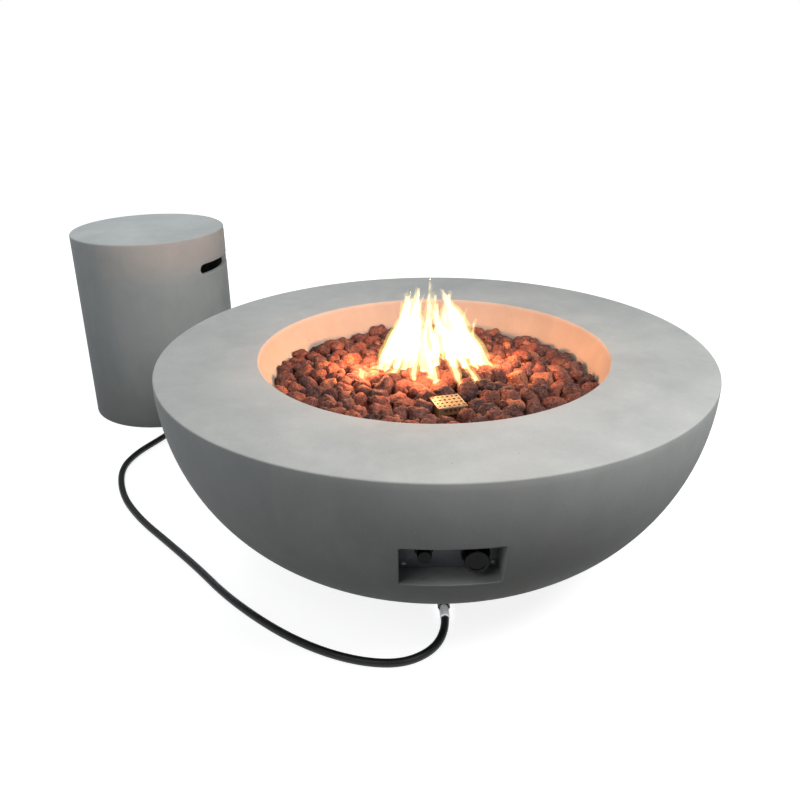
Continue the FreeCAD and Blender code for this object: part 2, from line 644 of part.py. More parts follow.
def clipped(faces, point, normal):
    """The convex lump's faces, without what lies beyond the plane."""
    kept = []
    rim = []
    for face in faces:
        outline = []
        for a, b in zip(face, face[1:] + face[:1]):
            side_a = (a - point).dot(normal)
            side_b = (b - point).dot(normal)
            if side_a <= 0:
                outline.append(a)
            if (side_a < 0 < side_b) or (side_b < 0 < side_a):
                crossing = a + (b - a) * (side_a / (side_a - side_b))
                outline.append(crossing)
                rim.append(crossing)
        if len(outline) > 2:
            kept.append(outline)
    corners = []
    for p in rim:
        if all((p - q).Length > 0.01 for q in corners):
            corners.append(p)
    if len(corners) > 2:
        middle = sum(corners, Vector()) / len(corners)
        across = (corners[0] - middle).normalize()
        up = normal.cross(across)
        corners.sort(key=lambda p: math.atan2((p - middle).dot(up), (p - middle).dot(across)))
        kept.append(corners)
    return kept


def cube_faces(centre, half):
    """Six square faces, each as a list of corners."""
    faces = []
    for axis, u, v in ((X, Y, Z), (Y, Z, X), (Z, X, Y)):
        for side in (-1, 1):
            corners = [centre + axis * side * half + u * a * half + v * b * half
                       for a, b in ((-1, -1), (1, -1), (1, 1), (-1, 1))]
            faces.append(corners[::side])
    return faces


def facet(corners):
    """One flat face, or a fan of triangles where merging close corners has bent it a little."""
    normal = (corners[1] - corners[0]).cross(corners[2] - corners[0]).normalize()
    if all(abs((p - corners[0]).dot(normal)) < 1e-5 for p in corners):
        return [Part.Face(Part.makePolygon(corners + corners[:1]))]
    fan = zip(corners[1:], corners[2:])
    return [Part.Face(Part.makePolygon([corners[0], b, c, corners[0]])) for b, c in fan]


def lump(faces):
    """A solid with these flat faces, with corners closer than a hair's breadth made one."""
    shared = []
    outlines = []
    for face in faces:
        corners = []
        for p in face:
            near = [q for q in shared if (p - q).Length < 0.05]
            corner = near[0] if near else p
            if not near:
                shared.append(p)
            if corner not in corners:
                corners.append(corner)
        if len(corners) > 2:
            outlines += facet(corners)
    shell = Part.makeShell(outlines)
    shell.sewShape()
    solid = Part.Solid(shell)
    if solid.Volume < 0:
        solid.reverse()
    return solid


def in_guard_frame(point):
    return turn_z(point - Vector(GUARD_X, GUARD_Y, point.z), -GUARD_TURN)


def bed_top(x, y):
    """How high the rocks reach at a place in the well."""
    back = min(max((y - WELL_R * 0.1) / (WELL_R * 0.7), 0), 1)
    centre = min(max(1 - (math.hypot(x, y) - RING_R) / ROCK_PITCH, 0), 1)
    local = in_guard_frame(Vector(x, y, 0))
    beside = abs(local.x) > GUARD_MOUTH_W / 2
    before_mouth = -GUARD_SIDE / 2 - ROCK_PITCH < local.y < -GUARD_SIDE / 2 and not beside
    return ROCK_TOP_Z - ROCK_BACK_FALL * back + ROCK_HEAP * centre - ROCK_MOUTH_FALL * before_mouth


def rock_middles():
    """Middles of the rocks: tipped in at random, none too close to another, until the bed is full."""
    nearest = ROCK_NEAREST * ROCK_PITCH
    bed_r = well_radius(ROCK_TOP_Z) - nearest / 2
    middles = []
    for _ in range(ROCK_DRAWS):
        x = ROCK_MOULD.uniform(-bed_r, bed_r)
        y = ROCK_MOULD.uniform(-bed_r, bed_r)
        local = in_guard_frame(Vector(x, y, 0))
        clear_of_guard = max(abs(local.x), abs(local.y)) > (GUARD_SIDE + nearest) / 2
        crowded = any(math.hypot(x - m.x, y - m.y) < nearest for m in middles)
        if math.hypot(x, y) < bed_r and clear_of_guard and not crowded:
            height = (rock_floor(x, y) + bed_top(x, y)) / 2
            middles.append(Vector(x, y, height + ROCK_MOULD.uniform(-1, 1) * ROCK_JITTER * ROCK_PITCH))
    return middles


def rock_floor(x, y):
    """What a rock stands on: the burner, the pan's flange or the pan's floor."""
    distance = math.hypot(x, y)
    if distance < RING_R + RING_TUBE_R + ROCK_PITCH * 0.55:
        return BURNER_TOP_Z + SEAT_GAP
    if distance > LEDGE_R - MOVING_GAP - PAN_THICK - ROCK_PITCH:
        return LEDGE_Z + PAN_THICK
    return PAN_FLOOR_Z


def lava_rocks():
    middles = rock_middles()
    rocks = []
    for middle in middles:
        faces = cube_faces(middle, 2 * ROCK_PITCH)
        for other in middles:
            apart = other - middle
            if 0 < apart.Length < 2.6 * ROCK_PITCH:
                direction = apart / apart.Length
                faces = clipped(faces, middle + apart / 2 - direction * ROCK_GAP / 2, direction)
        outward = Vector(middle.x, middle.y, 0).normalize()
        wall_lean = (WELL_R - WELL_FOOT_R) / WELL_DEPTH
        wall_point = outward * (WELL_FOOT_R - ROCK_WALL_GAP) + Z * LEDGE_Z
        faces = clipped(faces, wall_point, (outward - Z * wall_lean).normalize())
        floor_z = rock_floor(middle.x, middle.y)
        faces = clipped(faces, Z * floor_z, -Z)
        if floor_z < BURNER_TOP_Z:
            faces = clipped(faces, outward * (RING_R + RING_TUBE_R + MOVING_GAP), -outward)
        tilt = Vector(ROCK_MOULD.uniform(-0.35, 0.35), ROCK_MOULD.uniform(-0.35, 0.35), 1).normalize()
        top = Vector(middle.x, middle.y, bed_top(middle.x, middle.y))
        top -= Z * ROCK_MOULD.uniform(0, 0.25) * ROCK_PITCH
        faces = clipped(faces, top, tilt)
        local = in_guard_frame(middle)
        at_side = abs(local.x) > abs(local.y)
        guard_axis = X * math.copysign(1, local.x) if at_side else Y * math.copysign(1, local.y)
        guard_normal = turn_z(guard_axis, GUARD_TURN)
        guard_face = GUARD + guard_normal * (GUARD_SIDE / 2 + MOVING_GAP)
        if max(abs(local.x), abs(local.y)) < GUARD_SIDE / 2 + 3 * ROCK_PITCH:
            faces = clipped(faces, guard_face, -guard_normal)
        heading = ROCK_MOULD.uniform(0, 360)
        half_height = top.z - middle.z
        for _ in range(ROCK_CUTS):
            lean = math.radians(ROCK_MOULD.uniform(8, 62))
            heading += GOLDEN_TURN + ROCK_MOULD.uniform(-25, 25)
            direction = turn_z(X, heading) * math.cos(lean) + Z * math.sin(lean)
            share = ROCK_MOULD.uniform(0.30, 0.46)
            reach = half_height * math.sin(lean) * 0.8 + ROCK_PITCH * share * math.cos(lean)
            faces = clipped(faces, middle + direction * reach, direction)
        rocks.append(lump(faces))
    return Part.makeCompound(rocks)


# ---------------------------------------------------------------------------------------------
# Controls: gas valve with its sprung stem and knob, and the push-button igniter
# ---------------------------------------------------------------------------------------------

def axis_point(x, y):
    """A point on the axis of a control, at a distance along Y."""
    return Vector(x, y, CONTROLS_Z)


SPRING_SEAT_Y = VALVE_FRONT_Y - 2.0
BORE_FRONT_Y = NECK_TIP_Y + NECK_LENGTH + 5.0
WASHER_REST_Y = BORE_FRONT_Y + SEAT_GAP + STEM_COLLAR_H
STEM_TAIL = 6.0       # how far the stem reaches past the washer into the valve
STEM_TIP_Y = KNOB_BACK_Y - KNOB_DEPTH * 0.55


def gas_valve_body():
    """A cast body with a bonnet and a threaded neck in front, and spigots below and behind."""
    body = block(VALVE_W, VALVE_L, VALVE_H, axis_point(KNOB_X, VALVE_FRONT_Y + VALVE_L / 2))
    body = body.makeFillet(3.0, [e for e in body.Edges if abs(e.tangentAt(0).y) > 0.99])
    body = body.fuse(rod(BONNET_R, axis_point(KNOB_X, PANEL_REAR_Y), axis_point(KNOB_X, VALVE_FRONT_Y + 1)))
    body = body.fuse(rod(NECK_R, axis_point(KNOB_X, NECK_TIP_Y), axis_point(KNOB_X, PANEL_REAR_Y + 1)))
    inlet = valve_inlet()
    body = body.fuse(rod(SPIGOT_R, inlet, inlet + Z * (SPIGOT_LENGTH + VALVE_H / 2)))
    outlet = axis_point(KNOB_X, VALVE_REAR_Y + SPIGOT_LENGTH)
    body = body.fuse(rod(SPIGOT_R, outlet - Y * (SPIGOT_LENGTH + VALVE_L / 2), outlet))
    spring_bore = rod(WASHER_R + 3 * SEAT_GAP, axis_point(KNOB_X, BORE_FRONT_Y),
                      axis_point(KNOB_X, SPRING_SEAT_Y))
    stem_bore = rod(STEM_R + RUNNING_FIT, axis_point(KNOB_X, NECK_TIP_Y - 1),
                    axis_point(KNOB_X, SPRING_SEAT_Y + STEM_TAIL + KNOB_TRAVEL))
    return body.cut(spring_bore).cut(stem_bore)


def valve_inlet():
    """The lower end of the valve's inlet spigot."""
    return Vector(KNOB_X, VALVE_FRONT_Y + VALVE_L / 2, CONTROLS_Z - VALVE_H / 2 - SPIGOT_LENGTH)


def valve_stem():
    """A round stem with a flat where it drives the knob and a collar that pushes the washer."""
    tip = axis_point(KNOB_X, STEM_TIP_Y)
    tail = axis_point(KNOB_X, SPRING_SEAT_Y + STEM_TAIL)
    collar_back = axis_point(KNOB_X, WASHER_REST_Y)
    stem = rod(STEM_R, tip, tail).fuse(rod(STEM_COLLAR_R, collar_back - Y * STEM_COLLAR_H, collar_back))
    flat = block(4 * STEM_R, KNOB_BACK_Y - STEM_TIP_Y, 2 * STEM_R, Vector(
        KNOB_X, (KNOB_BACK_Y + STEM_TIP_Y) / 2, CONTROLS_Z + STEM_FLAT + STEM_R))
    return stem.cut(flat)


def control_knob():
    """A fluted knob with a skirt at the back, a pointer groove on the face and a D-shaped bore."""
    grip_r = KNOB_R * 0.9
    face_r = grip_r * 0.97
    profile = [(0, 0), (KNOB_R, 0), (KNOB_R, KNOB_SKIRT), (grip_r, KNOB_SKIRT + KNOB_ROUND),
               (face_r, KNOB_DEPTH - KNOB_ROUND), (face_r - KNOB_ROUND, KNOB_DEPTH), (0, KNOB_DEPTH)]
    knob = turned(profile)
    for p in around(KNOB_FLUTES, grip_r + KNOB_FLUTE_R * 0.45, KNOB_SKIRT + KNOB_ROUND, 180 / KNOB_FLUTES):
        knob = knob.cut(rod(KNOB_FLUTE_R, p, p + Z * KNOB_DEPTH))
    knob = knob.cut(block(POINTER_W, grip_r * 0.8, 2 * POINTER_DEPTH, Vector(0, grip_r * 0.55, KNOB_DEPTH)))
    bore = rod(STEM_R + RUNNING_FIT, -Z, Z * (KNOB_BACK_Y - STEM_TIP_Y + RUNNING_FIT))
    above_flat = block(4 * STEM_R, 2 * STEM_R, 2 * KNOB_DEPTH, Vector(0, STEM_FLAT + RUNNING_FIT + STEM_R, 0))
    knob = knob.cut(bore.cut(above_flat))
    knob.Placement = Placement(axis_point(KNOB_X, KNOB_BACK_Y), Rotation(X, 90))
    return knob


def igniter_body():
    """A threaded barrel with a bezel in front of the panel and a bore for the button and battery."""
    bezel = axis_point(IGNITER_X, PANEL_FRONT_Y - IGNITER_BEZEL_H)
    panel = axis_point(IGNITER_X, PANEL_FRONT_Y)
    tail = axis_point(IGNITER_X, PANEL_REAR_Y + IGNITER_LENGTH)
    barrel = rod(IGNITER_BEZEL_R, bezel, panel).fuse(rod(IGNITER_R, bezel, tail))
    return barrel.cut(rod(BUTTON_STEM_R + RUNNING_FIT, bezel - Y, tail - Y * MIXER_WALL))


def igniter_button():
    """A domed cap, slightly tapered, on a stem that slides in the barrel."""
    front_r = BUTTON_R - BUTTON_TAPER
    profile = [(0, -BUTTON_STEM_L), (BUTTON_STEM_R, -BUTTON_STEM_L), (BUTTON_STEM_R, 0), (BUTTON_R, 0),
               (front_r, BUTTON_DEPTH - 2), (front_r - 2, BUTTON_DEPTH), (0, BUTTON_DEPTH)]
    return along(turned(profile), axis_point(IGNITER_X, BUTTON_BACK_Y), -Y)


def control_nodes():
    nodes["gas_valve_body"] = gas_valve_body()
    nodes["valve_panel_nut"] = hex_nut(PANEL_NUT_AF, PANEL_NUT_H, NECK_R + SEAT_GAP,
                                       axis_point(KNOB_X, PANEL_FRONT_Y), -Y)
    nodes["valve_stem"] = valve_stem()
    washer_front = axis_point(KNOB_X, WASHER_REST_Y)
    nodes["stem_washer"] = tube(WASHER_R, STEM_R + RUNNING_FIT, washer_front, washer_front + Y * WASHER_THICK)
    spring_front = washer_front + Y * WASHER_THICK
    spring_mean_r = (STEM_R + WASHER_R) / 2
    nodes["stem_spring"] = coil_spring(spring_mean_r, SPRING_SEAT_Y - spring_front.y, spring_front, Y)
    nodes["control_knob"] = control_knob()

    nodes["igniter_body"] = igniter_body()
    nodes["igniter_nut"] = hex_nut(IGNITER_NUT_AF, IGNITER_NUT_H, IGNITER_R + SEAT_GAP,
                                   axis_point(IGNITER_X, PANEL_REAR_Y), Y)
    nodes["igniter_button"] = igniter_button()
    stem_end_y = BUTTON_BACK_Y + BUTTON_STEM_L
    spring_length = BUTTON_TRAVEL * 3
    nodes["igniter_spring"] = coil_spring(BUTTON_STEM_R - SPRING_WIRE, spring_length,
                                          axis_point(IGNITER_X, stem_end_y), Y)
    battery_front = axis_point(IGNITER_X, stem_end_y + spring_length)
    battery_back = axis_point(IGNITER_X, PANEL_REAR_Y + IGNITER_LENGTH - MIXER_WALL)
    nodes["igniter_battery"] = rod(BATTERY_R, battery_front, battery_back)


# ---------------------------------------------------------------------------------------------
# Pipes and leads inside the bowl
# ---------------------------------------------------------------------------------------------

def pipe_nodes():
    inlet = valve_inlet()
    fitting_tip = Vector(PIPE_X, FITTING_TIP_Y, FITTING_Z)
    inlet_path, _ = bent_path([fitting_tip, Vector(PIPE_X, PIPE_RISE_Y, FITTING_Z),
                               Vector(PIPE_X, PIPE_RISE_Y, PIPE_CRUISE_Z),
                               Vector(inlet.x, inlet.y, PIPE_CRUISE_Z), inlet], PIPE_BEND)
    nodes["gas_inlet_pipe"] = swept(inlet_path, PIPE_R)

    outlet = axis_point(KNOB_X, VALVE_REAR_Y + SPIGOT_LENGTH)
    elbow_tip = Vector(0, ELBOW_TIP_Y, ELBOW_Z)
    supply_path, _ = bent_path([outlet, outlet + Y * LEAD_RUN_OUT, elbow_tip - Y * LEAD_RUN_OUT, elbow_tip])
    nodes["burner_supply_tube"] = swept(supply_path, SUPPLY_R)

    nut_bore = SPIGOT_R + SEAT_GAP
    nodes["flare_nuts"] = Part.makeCompound([
        hex_nut(FLARE_AF, FLARE_H, nut_bore, inlet, Z),
        hex_nut(FLARE_AF, FLARE_H, nut_bore, outlet, -Y),
        hex_nut(FLARE_AF, FLARE_H, nut_bore, elbow_tip, Y)])

    electrode, sensor = probe_places()
    igniter_tail = axis_point(IGNITER_X, PANEL_REAR_Y + IGNITER_LENGTH)
    electrode_low = electrode - Z * PROBE_LOW
    igniter_path, _ = bent_path([igniter_tail, igniter_tail + Y * LEAD_RUN_OUT,
                                 electrode_low - Z * LEAD_DROP, electrode_low], LEAD_BEND)
    nodes["igniter_lead"] = swept(igniter_path, LEAD_R)
    sensor_low = sensor - Z * PROBE_LOW
    port = axis_point(KNOB_X + VALVE_W / 2 - 3 * LEAD_R, VALVE_REAR_Y) + Z * (VALVE_H / 2 - 3 * LEAD_R)
    sensor_path, _ = bent_path([port, port + Y * LEAD_RUN_OUT,
                                sensor_low - Z * LEAD_DROP, sensor_low], LEAD_BEND)
    nodes["thermocouple_lead"] = swept(sensor_path, LEAD_R)


# ---------------------------------------------------------------------------------------------
# Gas cylinder, valve, regulator and cover
# ---------------------------------------------------------------------------------------------

OUTWARD = turn_z(X, OUTLET_TURN)


def outlet_point(reach, height=OUTLET_Z):
    """A point on the axis of the cylinder valve's outlet."""
    return TANK + OUTWARD * reach + Z * height


def vessel(radius, low_z, high_z):
    """A solid of revolution with two domed ends, about the cylinder's axis."""
    side_low = low_z + CYLINDER_HEAD
    side_high = high_z - CYLINDER_HEAD
    edges = [line(radius, side_low, radius, side_high), line(0, low_z, 0, high_z)]
    for side_z, crown_z in ((side_low, low_z), (side_high, high_z)):
        middle, side, crown = Vector(0, 0, side_z), Vector(radius, 0, side_z), Vector(0, 0, crown_z)
        edges.append(ellipse_arc(middle, side, crown, side, crown))
    solid = revolved(edges)
    solid.translate(TANK)
    return solid


def cylinder_shell():
    """A welded steel vessel with domed ends and a threaded boss on top."""
    outer = vessel(CYLINDER_R, CYLINDER_LOW_Z, CYLINDER_TOP_Z)
    inner = vessel(CYLINDER_R - CYLINDER_WALL, CYLINDER_LOW_Z + CYLINDER_WALL, CYLINDER_TOP_Z - CYLINDER_WALL)
    crown = TANK + Z * CYLINDER_TOP_Z
    boss = rod(NECK_BOSS_R, crown - Z * NECK_BOSS_H, crown + Z * NECK_BOSS_H)
    bore = rod(TANK_VALVE_R + SEAT_GAP, crown - Z * 2 * NECK_BOSS_H, crown + Z * 2 * NECK_BOSS_H)
    return outer.cut(inner).fuse(boss).cut(bore)


def dome_height(radius):
    """How far the domed end has fallen from its crown at this radius."""
    return CYLINDER_HEAD * (1 - math.sqrt(1 - (radius / CYLINDER_R) ** 2))


def cylinder_foot_ring():
    """A rolled steel ring under the lower dome, vented on four sides."""
    top = max(FOOT_RING_H, CYLINDER_LOW_Z + dome_height(FOOT_RING_R) + 1)
    ring = tube(FOOT_RING_R, FOOT_RING_R - COLLAR_SHEET, Vector(), Z * top)
    for p in around(4, FOOT_RING_R, 0, 45):
        ring = ring.cut(rod(FOOT_RING_H / 3, p - p.normalize() * 20, p + p.normalize() * 20))
    ring.translate(TANK)
    return ring


def cylinder_collar():
    """A rolled guard round the valve, open for the outlet, with a hand hole on each side."""
    low = CYLINDER_TOP_Z - dome_height(COLLAR_R)
    collar = tube(COLLAR_R, COLLAR_R - COLLAR_SHEET, Z * low, Z * COLLAR_TOP_Z)
    bead = Part.makeTorus(COLLAR_R - COLLAR_SHEET / 2, COLLAR_BEAD_R, Z * (COLLAR_TOP_Z - COLLAR_BEAD_R), Z)
    collar = collar.fuse(bead)
    half = math.radians(COLLAR_MOUTH / 2)
    reach = 2 * COLLAR_R
    corners = [Vector(), Vector(reach, -reach * math.tan(half), 0), Vector(reach, reach * math.tan(half), 0)]
    mouth_low = CYLINDER_TOP_Z + COLLAR_MOUTH_LIFT
    wedge = Part.makePolygon([c + Z * mouth_low for c in corners + corners[:1]])
    mouth = Part.Face(wedge).extrude(Z * COLLAR_R * 2)
    mouth.rotate(Vector(), Z, OUTLET_TURN)
    collar = collar.cut(mouth)
    hand_hole = block(3 * COLLAR_R, HAND_HOLE_W, HAND_HOLE_H, Z * (COLLAR_TOP_Z - HAND_HOLE_DROP))
    hole_corners = [e for e in hand_hole.Edges if abs(e.tangentAt(0).x) > 0.99]
    hand_hole = hand_hole.makeFillet(HAND_HOLE_ROUND, hole_corners)
    hand_hole.rotate(Vector(), Z, OUTLET_TURN + 90)
    collar = collar.cut(hand_hole)
    collar.translate(TANK)
    return collar


def cylinder_valve():
    """A brass valve screwed into the boss, with its outlet on one side and a relief on the other."""
    body = rod(TANK_VALVE_R, Z * (CYLINDER_TOP_Z - NECK_BOSS_H), Z * (OUTLET_Z + 16))
    body = body.fuse(rod(TANK_VALVE_R * 0.7, Z * OUTLET_Z, Z * VALVE_TOP_Z))
    body = body.fuse(rod(OUTLET_R, Z * OUTLET_Z, Vector(OUTLET_REACH, 0, OUTLET_Z)))
    body = body.fuse(rod(OUTLET_R * 0.6, Z * OUTLET_Z, Vector(-OUTLET_REACH * 0.7, 0, OUTLET_Z)))
    body = body.cut(rod(SPINDLE_R + RUNNING_FIT, Z * (VALVE_TOP_Z - SPINDLE_DEPTH), Z * (VALVE_TOP_Z + 1)))
    body = body.cut(rod(INLET_NIPPLE_R + SEAT_GAP, Vector(OUTLET_REACH - OUTLET_BORE, 0, OUTLET_Z),
                        Vector(OUTLET_REACH + 1, 0, OUTLET_Z)))
    body.rotate(Vector(), Z, OUTLET_TURN)
    body.translate(TANK)
    return body


def valve_handwheel():
    """A lobed wheel on the valve's spindle."""
    wheel = rod(WHEEL_R, Vector(), Z * WHEEL_H)
    wheel = wheel.makeFillet(3.0, [e for e in wheel.Edges if len(e.Vertexes) == 1])
    for p in around(WHEEL_LOBES, WHEEL_R + WHEEL_LOBE_R * 0.6):
        wheel = wheel.cut(rod(WHEEL_LOBE_R, p - Z, p + Z * (WHEEL_H + 1)))
    wheel = wheel.cut(rod(SPINDLE_R + SEAT_GAP, -Z, Z * WHEEL_H * 0.7))
    wheel.translate(TANK + Z * WHEEL_LOW_Z)
    return wheel


def coupling_nut():
    """The ribbed hand nut that draws the regulator onto the valve."""
    nut = rod(COUPLING_R, Vector(), Z * COUPLING_L)
    nut = nut.makeChamfer(COUPLING_CHAMFER, [e for e in nut.Edges if len(e.Vertexes) == 1])
    for p in around(COUPLING_RIBS, COUPLING_R + COUPLING_RIB_R * 0.46):
        nut = nut.cut(rod(COUPLING_RIB_R, p - Z, p + Z * COUPLING_L * 0.7))
    nut = nut.cut(rod(OUTLET_R + RUNNING_FIT, -Z, Z * (COUPLING_L - 8)))
    nut = nut.cut(rod(INLET_NIPPLE_R + RUNNING_FIT, -Z, Z * (COUPLING_L + 1)))
    return along(nut, outlet_point(OUTLET_REACH - COUPLING_L + COUPLING_LAP), OUTWARD)


def regulator_body():
    """A round diaphragm housing with an inlet nipple, and an outlet spigot at a right angle to it."""
    middle = outlet_point(REGULATOR_REACH)
    half = REGULATOR_H / 2
    profile = [(0, -half), (REGULATOR_R * 0.6, -half), (REGULATOR_R, -half * 0.45), (REGULATOR_R, half * 0.1),
               (REGULATOR_R * 0.94, half * 0.1 + 1.5), (REGULATOR_R * 0.8, half * 0.75),
               (REGULATOR_R * 0.45, half), (0, half)]
    body = along(turned(profile), middle, Z)
    body = body.fuse(rod(INLET_NIPPLE_R, outlet_point(OUTLET_REACH - 10), middle))
    body = body.fuse(rod(INLET_NIPPLE_R + 4, outlet_point(COUPLING_L + 24), middle))
    return body.fuse(rod(SPIGOT_R, middle, middle + sideways_out(REGULATOR_R + REGULATOR_SPOUT)))


def sideways_out(distance):
    """From the regulator's middle towards its outlet."""
    return turn_z(Y, OUTLET_TURN - 180) * distance


def tank_cover():
    """A plain concrete cylinder, closed on top, with two hand slots and a notch for the hose."""
    cover = rod(COVER_R, Vector(), Z * COVER_H)
    cover = cover.makeFillet(COVER_ROUND, [e for e in cover.Edges
                                           if len(e.Vertexes) == 1 and e.Vertexes[0].Z > COVER_H / 2])
    cover = cover.cut(rod(COVER_R - COVER_WALL, -Z, Z * (COVER_H - COVER_TOP)))
    slot = block(3 * COVER_R, GRIP_L, GRIP_H, Z * (COVER_H - GRIP_DROP))
    slot = slot.makeFillet(GRIP_H * 0.49, [e for e in slot.Edges if abs(e.tangentAt(0).x) > 0.99])
    slot.rotate(Vector(), Z, GRIP_TURN)
    notch = block(4 * COVER_WALL, COVER_NOTCH_W, 2 * COVER_NOTCH_H, X * (COVER_R - COVER_WALL / 2))
    notch = notch.makeFillet(COVER_NOTCH_W * 0.3, [e for e in notch.Edges if abs(e.tangentAt(0).x) > 0.99])
    notch.rotate(Vector(), Z, COVER_NOTCH_TURN)
    cover = cover.cut(slot).cut(notch)
    cover.translate(TANK)
    return cover


def tank_nodes():
    nodes["cylinder_shell"] = cylinder_shell()
    full_vessel = vessel(CYLINDER_R, CYLINDER_LOW_Z, CYLINDER_TOP_Z)
    nodes["cylinder_foot_ring"] = cylinder_foot_ring().cut(full_vessel)
    nodes["cylinder_collar"] = cylinder_collar().cut(full_vessel)
    nodes["cylinder_valve"] = cylinder_valve()
    nodes["valve_spindle"] = rod(SPINDLE_R, TANK + Z * (VALVE_TOP_Z - SPINDLE_DEPTH + MOVING_GAP),
                                 TANK + Z * (WHEEL_LOW_Z + WHEEL_H * 0.65))
    nodes["valve_handwheel"] = valve_handwheel()
    nodes["coupling_nut"] = coupling_nut()
    nodes["regulator_body"] = regulator_body()
    cap_base = outlet_point(REGULATOR_REACH, OUTLET_Z + REGULATOR_H / 2)
    cap = rod(REGULATOR_CAP_R, cap_base, cap_base + Z * REGULATOR_CAP_H)
    nodes["regulator_cap"] = cap.makeFillet(REGULATOR_CAP_ROUND, [cap.Edges[0]])
    nodes["tank_cover"] = tank_cover()


# ---------------------------------------------------------------------------------------------
# Gas hose: from the fitting under the bowl, over the ground, into the cover and up to the regulator
# ---------------------------------------------------------------------------------------------

HOSE_Z = HOSE_R + 0.1
HOSE_START = Vector(PIPE_X, FITTING_TIP_Y - SWIVEL_L - FERRULE_L, FITTING_Z)
HOSE_END = outlet_point(REGULATOR_REACH) + sideways_out(REGULATOR_R + REGULATOR_SPOUT + FERRULE_L)
HOSE_STRAIGHT = 48.0   # how far the hose runs straight out of the regulator
HOSE_BENDS = [
    (PIPE_X, -333, FITTING_Z), (-17, -385, HOSE_Z), (-69, -419, HOSE_Z), (-136, -416, HOSE_Z),
    (-216, -384, HOSE_Z), (-302, -324, HOSE_Z), (-402, -226, HOSE_Z), (-479, -126, HOSE_Z),
    (-563, -28, HOSE_Z), (-645, 66, HOSE_Z), (-713, 172, HOSE_Z), (-752, 296, HOSE_Z),
    (-739, 385, HOSE_Z), (-697, 466, HOSE_Z), (-668, 530, HOSE_Z), (-640, 594, HOSE_Z),
    (-604, 668, 12), (-562, 760, 48), (-583, 848, 126), (-648, 912, 212), (-722, 934, 296),
    (-787, 931, 362),
]


def hose_nodes():
    route = [HOSE_START]
    route += [Vector(*p) for p in HOSE_BENDS]
    route += [HOSE_END + sideways_out(HOSE_STRAIGHT), HOSE_END]
    path, radii = bent_path(route)
    hose = swept(path, HOSE_R)
    print("hose arc radii", [round(r) for r in radii])
    bar = math.pi * HOSE_R ** 2 * path.Length
    print("hose length", round(path.Length), "volume ratio", round(hose.Volume / bar, 4))
    nodes["gas_hose"] = hose
    nodes["bowl_end_ferrule"] = crimped(HOSE_START, Y)
    nodes["hose_swivel_nut"] = hex_nut(SWIVEL_AF, SWIVEL_L, PIPE_R + SEAT_GAP,
                                       HOSE_START + Y * FERRULE_L, Y)
    nodes["regulator_end_ferrule"] = crimped(HOSE_END, sideways_out(-1))


def crimped(base, axis):
    """A steel ferrule pressed onto the hose in three bands."""
    waist = FERRULE_R - 0.7
    edge = FERRULE_L / 7
    profile = [(0, 0)]
    for band in range(3):
        start = edge * (2 * band + 0.5)
        profile += [(FERRULE_R, start), (FERRULE_R, start + edge), (waist, start + 1.3 * edge)]
    profile[1:1] = [(waist, 0)]
    profile[-1] = (waist, FERRULE_L)
    profile.append((0, FERRULE_L))
    return along(turned(profile), base, axis)


bowl_nodes()
fire_nodes()
nodes["lava_rocks"] = lava_rocks()
control_nodes()
pipe_nodes()
tank_nodes()
hose_nodes()

os.makedirs("parts", exist_ok=True)
for name, shape in nodes.items():
    solids = shape.Solids
    faulty = [s for s in solids if not (s.isValid() and s.isClosed() and s.Volume > 0)]
    if faulty:
        print(name, "has", len(faulty), "faulty solids")
    shape.exportStep(f"parts/{name}.step")
print(len(nodes), "nodes written")
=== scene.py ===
import math
import random

import bmesh
import bpy
from mathutils import Matrix, Vector


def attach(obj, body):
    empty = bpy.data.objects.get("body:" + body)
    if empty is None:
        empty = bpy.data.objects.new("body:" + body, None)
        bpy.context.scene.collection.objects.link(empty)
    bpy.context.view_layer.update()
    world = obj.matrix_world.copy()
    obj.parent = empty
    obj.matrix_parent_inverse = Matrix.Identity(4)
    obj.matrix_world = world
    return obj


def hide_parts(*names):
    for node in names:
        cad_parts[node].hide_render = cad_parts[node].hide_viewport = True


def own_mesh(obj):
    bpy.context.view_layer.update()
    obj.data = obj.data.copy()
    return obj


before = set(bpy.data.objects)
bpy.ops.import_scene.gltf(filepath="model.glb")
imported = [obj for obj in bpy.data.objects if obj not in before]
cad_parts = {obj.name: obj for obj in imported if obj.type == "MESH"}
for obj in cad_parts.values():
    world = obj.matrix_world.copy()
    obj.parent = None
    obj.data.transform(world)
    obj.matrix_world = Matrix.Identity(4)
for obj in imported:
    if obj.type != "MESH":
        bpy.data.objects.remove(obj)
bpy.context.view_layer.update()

# -------------------------------------------------------------------------------------------------
# Camera
# It stands before the controls, half a metre above the rim, and looks down into the fire.
# -------------------------------------------------------------------------------------------------
CAMERA_PLACE = (-0.0933, -1.5470, 0.9880)
CAMERA_AIM = (0.01603, 0.91634, -0.40010)
CAMERA_ROLL = math.radians(-0.64)
CAMERA_LENS = 37.79
CAMERA_SENSOR = 36.0

optics = bpy.data.cameras.new("camera")
optics.lens = CAMERA_LENS
optics.sensor_width = CAMERA_SENSOR
camera = bpy.data.objects.new("camera", optics)
bpy.context.scene.collection.objects.link(camera)
camera.location = CAMERA_PLACE
aim = Vector(CAMERA_AIM).to_track_quat("-Z", "Y").to_matrix()
camera.rotation_euler = (aim @ Matrix.Rotation(CAMERA_ROLL, 3, "Z")).to_euler()
bpy.context.scene.camera = camera

# -------------------------------------------------------------------------------------------------
# Gas hose
# Black rubber hose for low-pressure gas, 15 mm outside, crimped into a steel ferrule at each end. It lies
# on the ground from the fitting under the bowl to the cover, and rises inside the cover to the regulator.
# -------------------------------------------------------------------------------------------------
HOSE_RADIUS = 0.0075
FERRULE_RADIUS = 0.0087
FERRULE_LENGTH = 0.020
FERRULE_LAP = 0.011
FERRULE_WAIST = 0.0080
FERRULE_BANDS = 3
